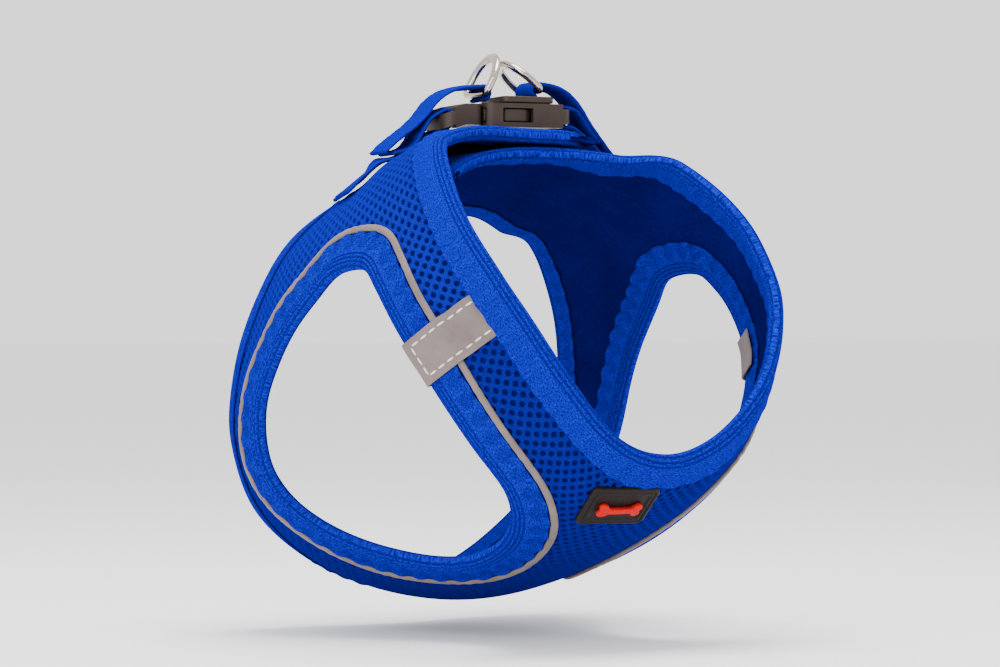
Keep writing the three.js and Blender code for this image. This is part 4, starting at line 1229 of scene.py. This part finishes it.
WEBBING = [
    ("right_strap", RIGHT_PATH, True, "root", [1.5, 13], 1, [-3, -12], -1),
    ("left_strap", LEFT_PATH, False, None, [1.5, 12], -1, [-3, -9], 1),
    ("right_ring_loop", RIGHT_LOOP, False, "root", [3, 12], 1, [-13, -14.5], 1),
    ("left_ring_loop", LEFT_LOOP, False, None, [3, 12], -1, [-13, -14.5], -1),
]
for node, path, drooping, body, near_tacks, near_face, far_tacks, far_face in WEBBING:
    mesh, on_web, total = webbing(f"{node}_webbing", path, drooping)
    piece = make_object(f"{node}_webbing", mesh)
    tacks = ([bar_tack(on_web, run, near_face) for run in near_tacks]
             + [bar_tack(on_web, total + run, far_face) for run in far_tacks])
    threads = stitched(f"{node}_tacks", tacks, 0.9, 1.3, 0.42, thread)
    for part in (piece, threads):
        if body:
            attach(part, body)
        else:
            start, end = (Vector(closure(along, 0, up) * MM) for along, up in ((50, -30.0), (26, -4.0)))
            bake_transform(part)
    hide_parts(node)

# ---- Side-release buckle -------------------------------------------------------------------------------
# Moulded dark plastic: a plug and a socket with open windows, through which the two latch arms' thumb pads
# show. A slotted bridge plate on the socket keeps the left leash loop flat.
HALF_LENGTH = 23.5
HALF_WIDTH = 11.7
PLATE_STEPS = 9


def slab(outline, low, high):
    work = bmesh.new()
    bottom = [work.verts.new((x, y, low)) for x, y in outline]
    top = [work.verts.new((x, y, high)) for x, y in outline]
    work.faces.new(bottom[::-1])
    work.faces.new(top)
    for k in range(len(outline)):
        j = (k + 1) % len(outline)
        work.faces.new((bottom[k], bottom[j], top[j], top[k]))
    bmesh.ops.recalc_face_normals(work, faces=work.faces)
    mesh = bpy.data.meshes.new("slab")
    work.to_mesh(mesh)
    work.free()
    return mesh


def block(along, across, up):
    (start, end), (near, far) = along, across
    return slab([(start, near), (end, near), (end, far), (start, far)], *up)


def plate(start, end, half, radius):
    middle = (start + end) / 2
    return rounded_rectangle((end - start) / 2, half, radius, PLATE_STEPS) + (middle, 0)


def evaluated(source):
    bpy.context.view_layer.update()
    return bpy.data.meshes.new_from_object(source.evaluated_get(bpy.context.evaluated_depsgraph_get()))


def moulded(name, body, joins, cuts, bevel, material, drooping=False):
    base = make_object(name, body)
    helpers = []
    for operation, meshes in (("UNION", joins), ("DIFFERENCE", cuts)):
        for mesh in meshes:
            helper = make_object("cutter", mesh)
            helpers.append(helper)
            carve = base.modifiers.new("carve", "BOOLEAN")
            carve.operation = operation
            carve.solver = "EXACT"
            carve.object = helper
    edges = base.modifiers.new("edges", "BEVEL")
    edges.width = bevel
    edges.segments = 3
    edges.limit_method = "ANGLE"
    edges.angle_limit = math.radians(38)
    mesh = evaluated(base)
    for helper in (*helpers, base):
        bpy.data.objects.remove(helper)
    work = bmesh.new()
    work.from_mesh(mesh)
    if drooping:
        whole = [*work.verts, *work.edges, *work.faces]
        bmesh.ops.bisect_plane(work, geom=whole, plane_co=(DROOP_FROM, 0, 0), plane_no=(1, 0, 0))
    bmesh.ops.triangulate(work, faces=[face for face in work.faces if len(face.verts) > 4])
    bmesh.ops.remove_doubles(work, verts=work.verts, dist=0.004)
    work.to_mesh(mesh)
    work.free()
    places = np.empty(len(mesh.vertices) * 3)
    mesh.vertices.foreach_get("co", places)
    places = places.reshape(-1, 3)
    sag = droop(places[:, 0]) if drooping else 0
    world_places = closure(places[:, 0], places[:, 1], places[:, 2] + sag) * MM
    mesh.vertices.foreach_set("co", world_places.astype(np.float32).ravel())
    mesh.materials.clear()
    mesh.materials.append(material)
    mesh.update()
    mesh.shade_smooth()
    weighted = np.zeros((len(mesh.vertices), 3))
    for face in mesh.polygons:
        weighted[list(face.vertices)] += np.array(face.normal) * face.area
    mesh.normals_split_custom_set_from_vertices(unit(weighted + 1e-12).tolist())
    mesh.name = name
    return make_object(name, mesh)


plastic = new_material("moulded_plastic", (0.035, 0.023, 0.018), 0.45, Specular_IOR_Level=0.25)
mould_grain = textured(plastic, "ShaderNodeTexNoise", coordinates(plastic), Scale=3500.0, Detail=3.0)
handling = textured(plastic, "ShaderNodeTexNoise", coordinates(plastic), Scale=120.0, Detail=4.0)
tint(plastic, calculate(plastic, "ADD", calculate(plastic, "MULTIPLY", mould_grain, 0.35),
                        calculate(plastic, "MULTIPLY", handling, 0.65)),
     (0.3, (0.021, 0.0122, 0.0085)), (0.7, (0.038, 0.0235, 0.0172)))
bump(plastic, mould_grain, 0.00008, 0.5)

sides_out = (-20, 20)
socket_cuts = [
    block((-20, 11), (-9.6, 9.6), (-2.4, 2.4)), block((-2.5, 8.5), sides_out, (-2.4, 2.4)),
    block((16.5, 20.1), (-8, 8), (-9, 9)), block((19.5, 30), sides_out, (2.4, 9)),
    block((19.5, 30), sides_out, (-9, -2.4)), block((-4.5, -3.9), (-9, 9), (3.75, 5)),
    *(block((along, along + 0.7), (-8.5, 8.5), (3.7, 5)) for along in (-6.8, -5.6)),
]
plug_cuts = [
    block((-20.1, -16.5), (-8, 8), (-9, 9)), block((-30, -19.5), sides_out, (2.4, 9)),
    block((-30, -19.5), sides_out, (-9, -2.4)),
    *(block((along, along + 0.7), (-8.5, 8.5), (3.2, 5)) for along in (-14.4, -13.0, -11.6)),
]
bridge_cuts = [block((9.2, 15.2), (-8.2, 8.2), (-9, 9))]
ARM = np.array([
    [-8.4, 5.4], [-8.4, 8.8], [-2.3, 9.2], [-1.6, 10.9], [1.5, 11.4], [5.5, 11.2], [8, 9.4], [9.4, 7.4],
    [8.6, 6.6], [4, 7.4], [-4, 6.2]])
MOULDED = [
    ("buckle_socket", slab(plate(-8.6, HALF_LENGTH, HALF_WIDTH, 5), -4, 4), [], socket_cuts, 0.45, "socket"),
    ("buckle_plug", slab(plate(-HALF_LENGTH, -9, HALF_WIDTH, 5), -3.5, 3.5),
     [block((-11, 7), (-2.6, 2.6), (-1.6, 1.6))], plug_cuts, 0.45, "root"),
    ("ring_bridge", slab(plate(-2, 17, 11, 3), 4.35, 6.5), [], bridge_cuts, 0.4, "socket"),
    ("front_latch_arm", slab(ARM * (1, -1), -2.1, 2.1), [], [], 0.4, "front_arm"),
    ("rear_latch_arm", slab(ARM, -2.1, 2.1), [], [], 0.4, "rear_arm"),
]
for node, body_mesh, joins, cuts, bevel, body in MOULDED:
    piece = moulded(f"{node}_moulding", body_mesh, joins, cuts, bevel, plastic, node == "buckle_plug")
    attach(piece, body)
    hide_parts(node)

# ---- D-rings -------------------------------------------------------------------------------------------
# Cast and chromed steel rings in the two leash loops, thinner at the bar that the webbing holds. At rest
# they lean together.
RING_HALF = 9.4
RING_HEIGHT = 13.5
RING_CORNER = 2.2
RING_SIDES = 20
RING_BAR = 1.3
RING_BOW = 1.75
RING_ACROSS = 1.25
chrome = new_material("chromed_steel", (0.5, 0.45, 0.4), 0.16, Metallic=1.0)
hairlines = textured(chrome, "ShaderNodeTexNoise", coordinates(chrome, scale=(1, 1, 6)),
                     Scale=700.0, Detail=3.0)
tint(chrome, hairlines, (0.3, (0.34, 0.28, 0.23)), (0.7, (0.56, 0.5, 0.44)))
bump(chrome, hairlines, 0.00005, 0.25)


def ring_outline():
    def corner(centre_b, centre_up, radius_b, radius_up, start, end, count):
        turn = np.radians(np.linspace(start, end, count))
        return np.stack([centre_b + radius_b * np.cos(turn), centre_up + radius_up * np.sin(turn)], 1)

    straight = np.stack([np.linspace(-RING_HALF + RING_CORNER, RING_HALF - RING_CORNER, 12),
                         np.zeros(12)], 1)[1:-1]
    return np.concatenate([
        corner(RING_CORNER - RING_HALF, RING_CORNER, RING_CORNER, RING_CORNER, 180, 270, 8), straight,
        corner(RING_HALF - RING_CORNER, RING_CORNER, RING_CORNER, RING_CORNER, 270, 360, 8),
        corner(0, RING_HEIGHT - RING_HALF, RING_HALF, RING_HALF, 0, 180, 60)])


def d_ring(name, along, up, lean):
    outline = ring_outline()
    ahead = unit(np.roll(outline, -1, 0) - np.roll(outline, 1, 0))
    outward = np.stack([ahead[:, 1], -ahead[:, 0]], 1)
    turn = np.arange(RING_SIDES) * 2 * math.pi / RING_SIDES
    thick = RING_BAR + (RING_BOW - RING_BAR) * smooth(outline[:, 1], 1.5, 6)
    flat = outline[:, None] + outward[:, None] * (thick[:, None] * np.cos(turn))[..., None]
    proud = np.broadcast_to(RING_ACROSS * np.sin(turn), flat.shape[:2])
    c, s = math.cos(lean), math.sin(lean)
    points = closure(along + proud * c + flat[..., 1] * s, flat[..., 0], up - proud * s + flat[..., 1] * c)
    mesh = mesh_from(name, points, grid_faces(len(outline), RING_SIDES, True, True), None, chrome)
    faces_out(mesh)
    return make_object(name, mesh)


for side, along, up, lean in (("right", -7.5, 7.5, 25), ("left", 12.5, 8.9, -50)):
    piece = d_ring(f"{side}_chrome_ring", along, up, math.radians(lean))
    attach(piece, f"{side}_ring")
    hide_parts(f"{side}_d_ring")
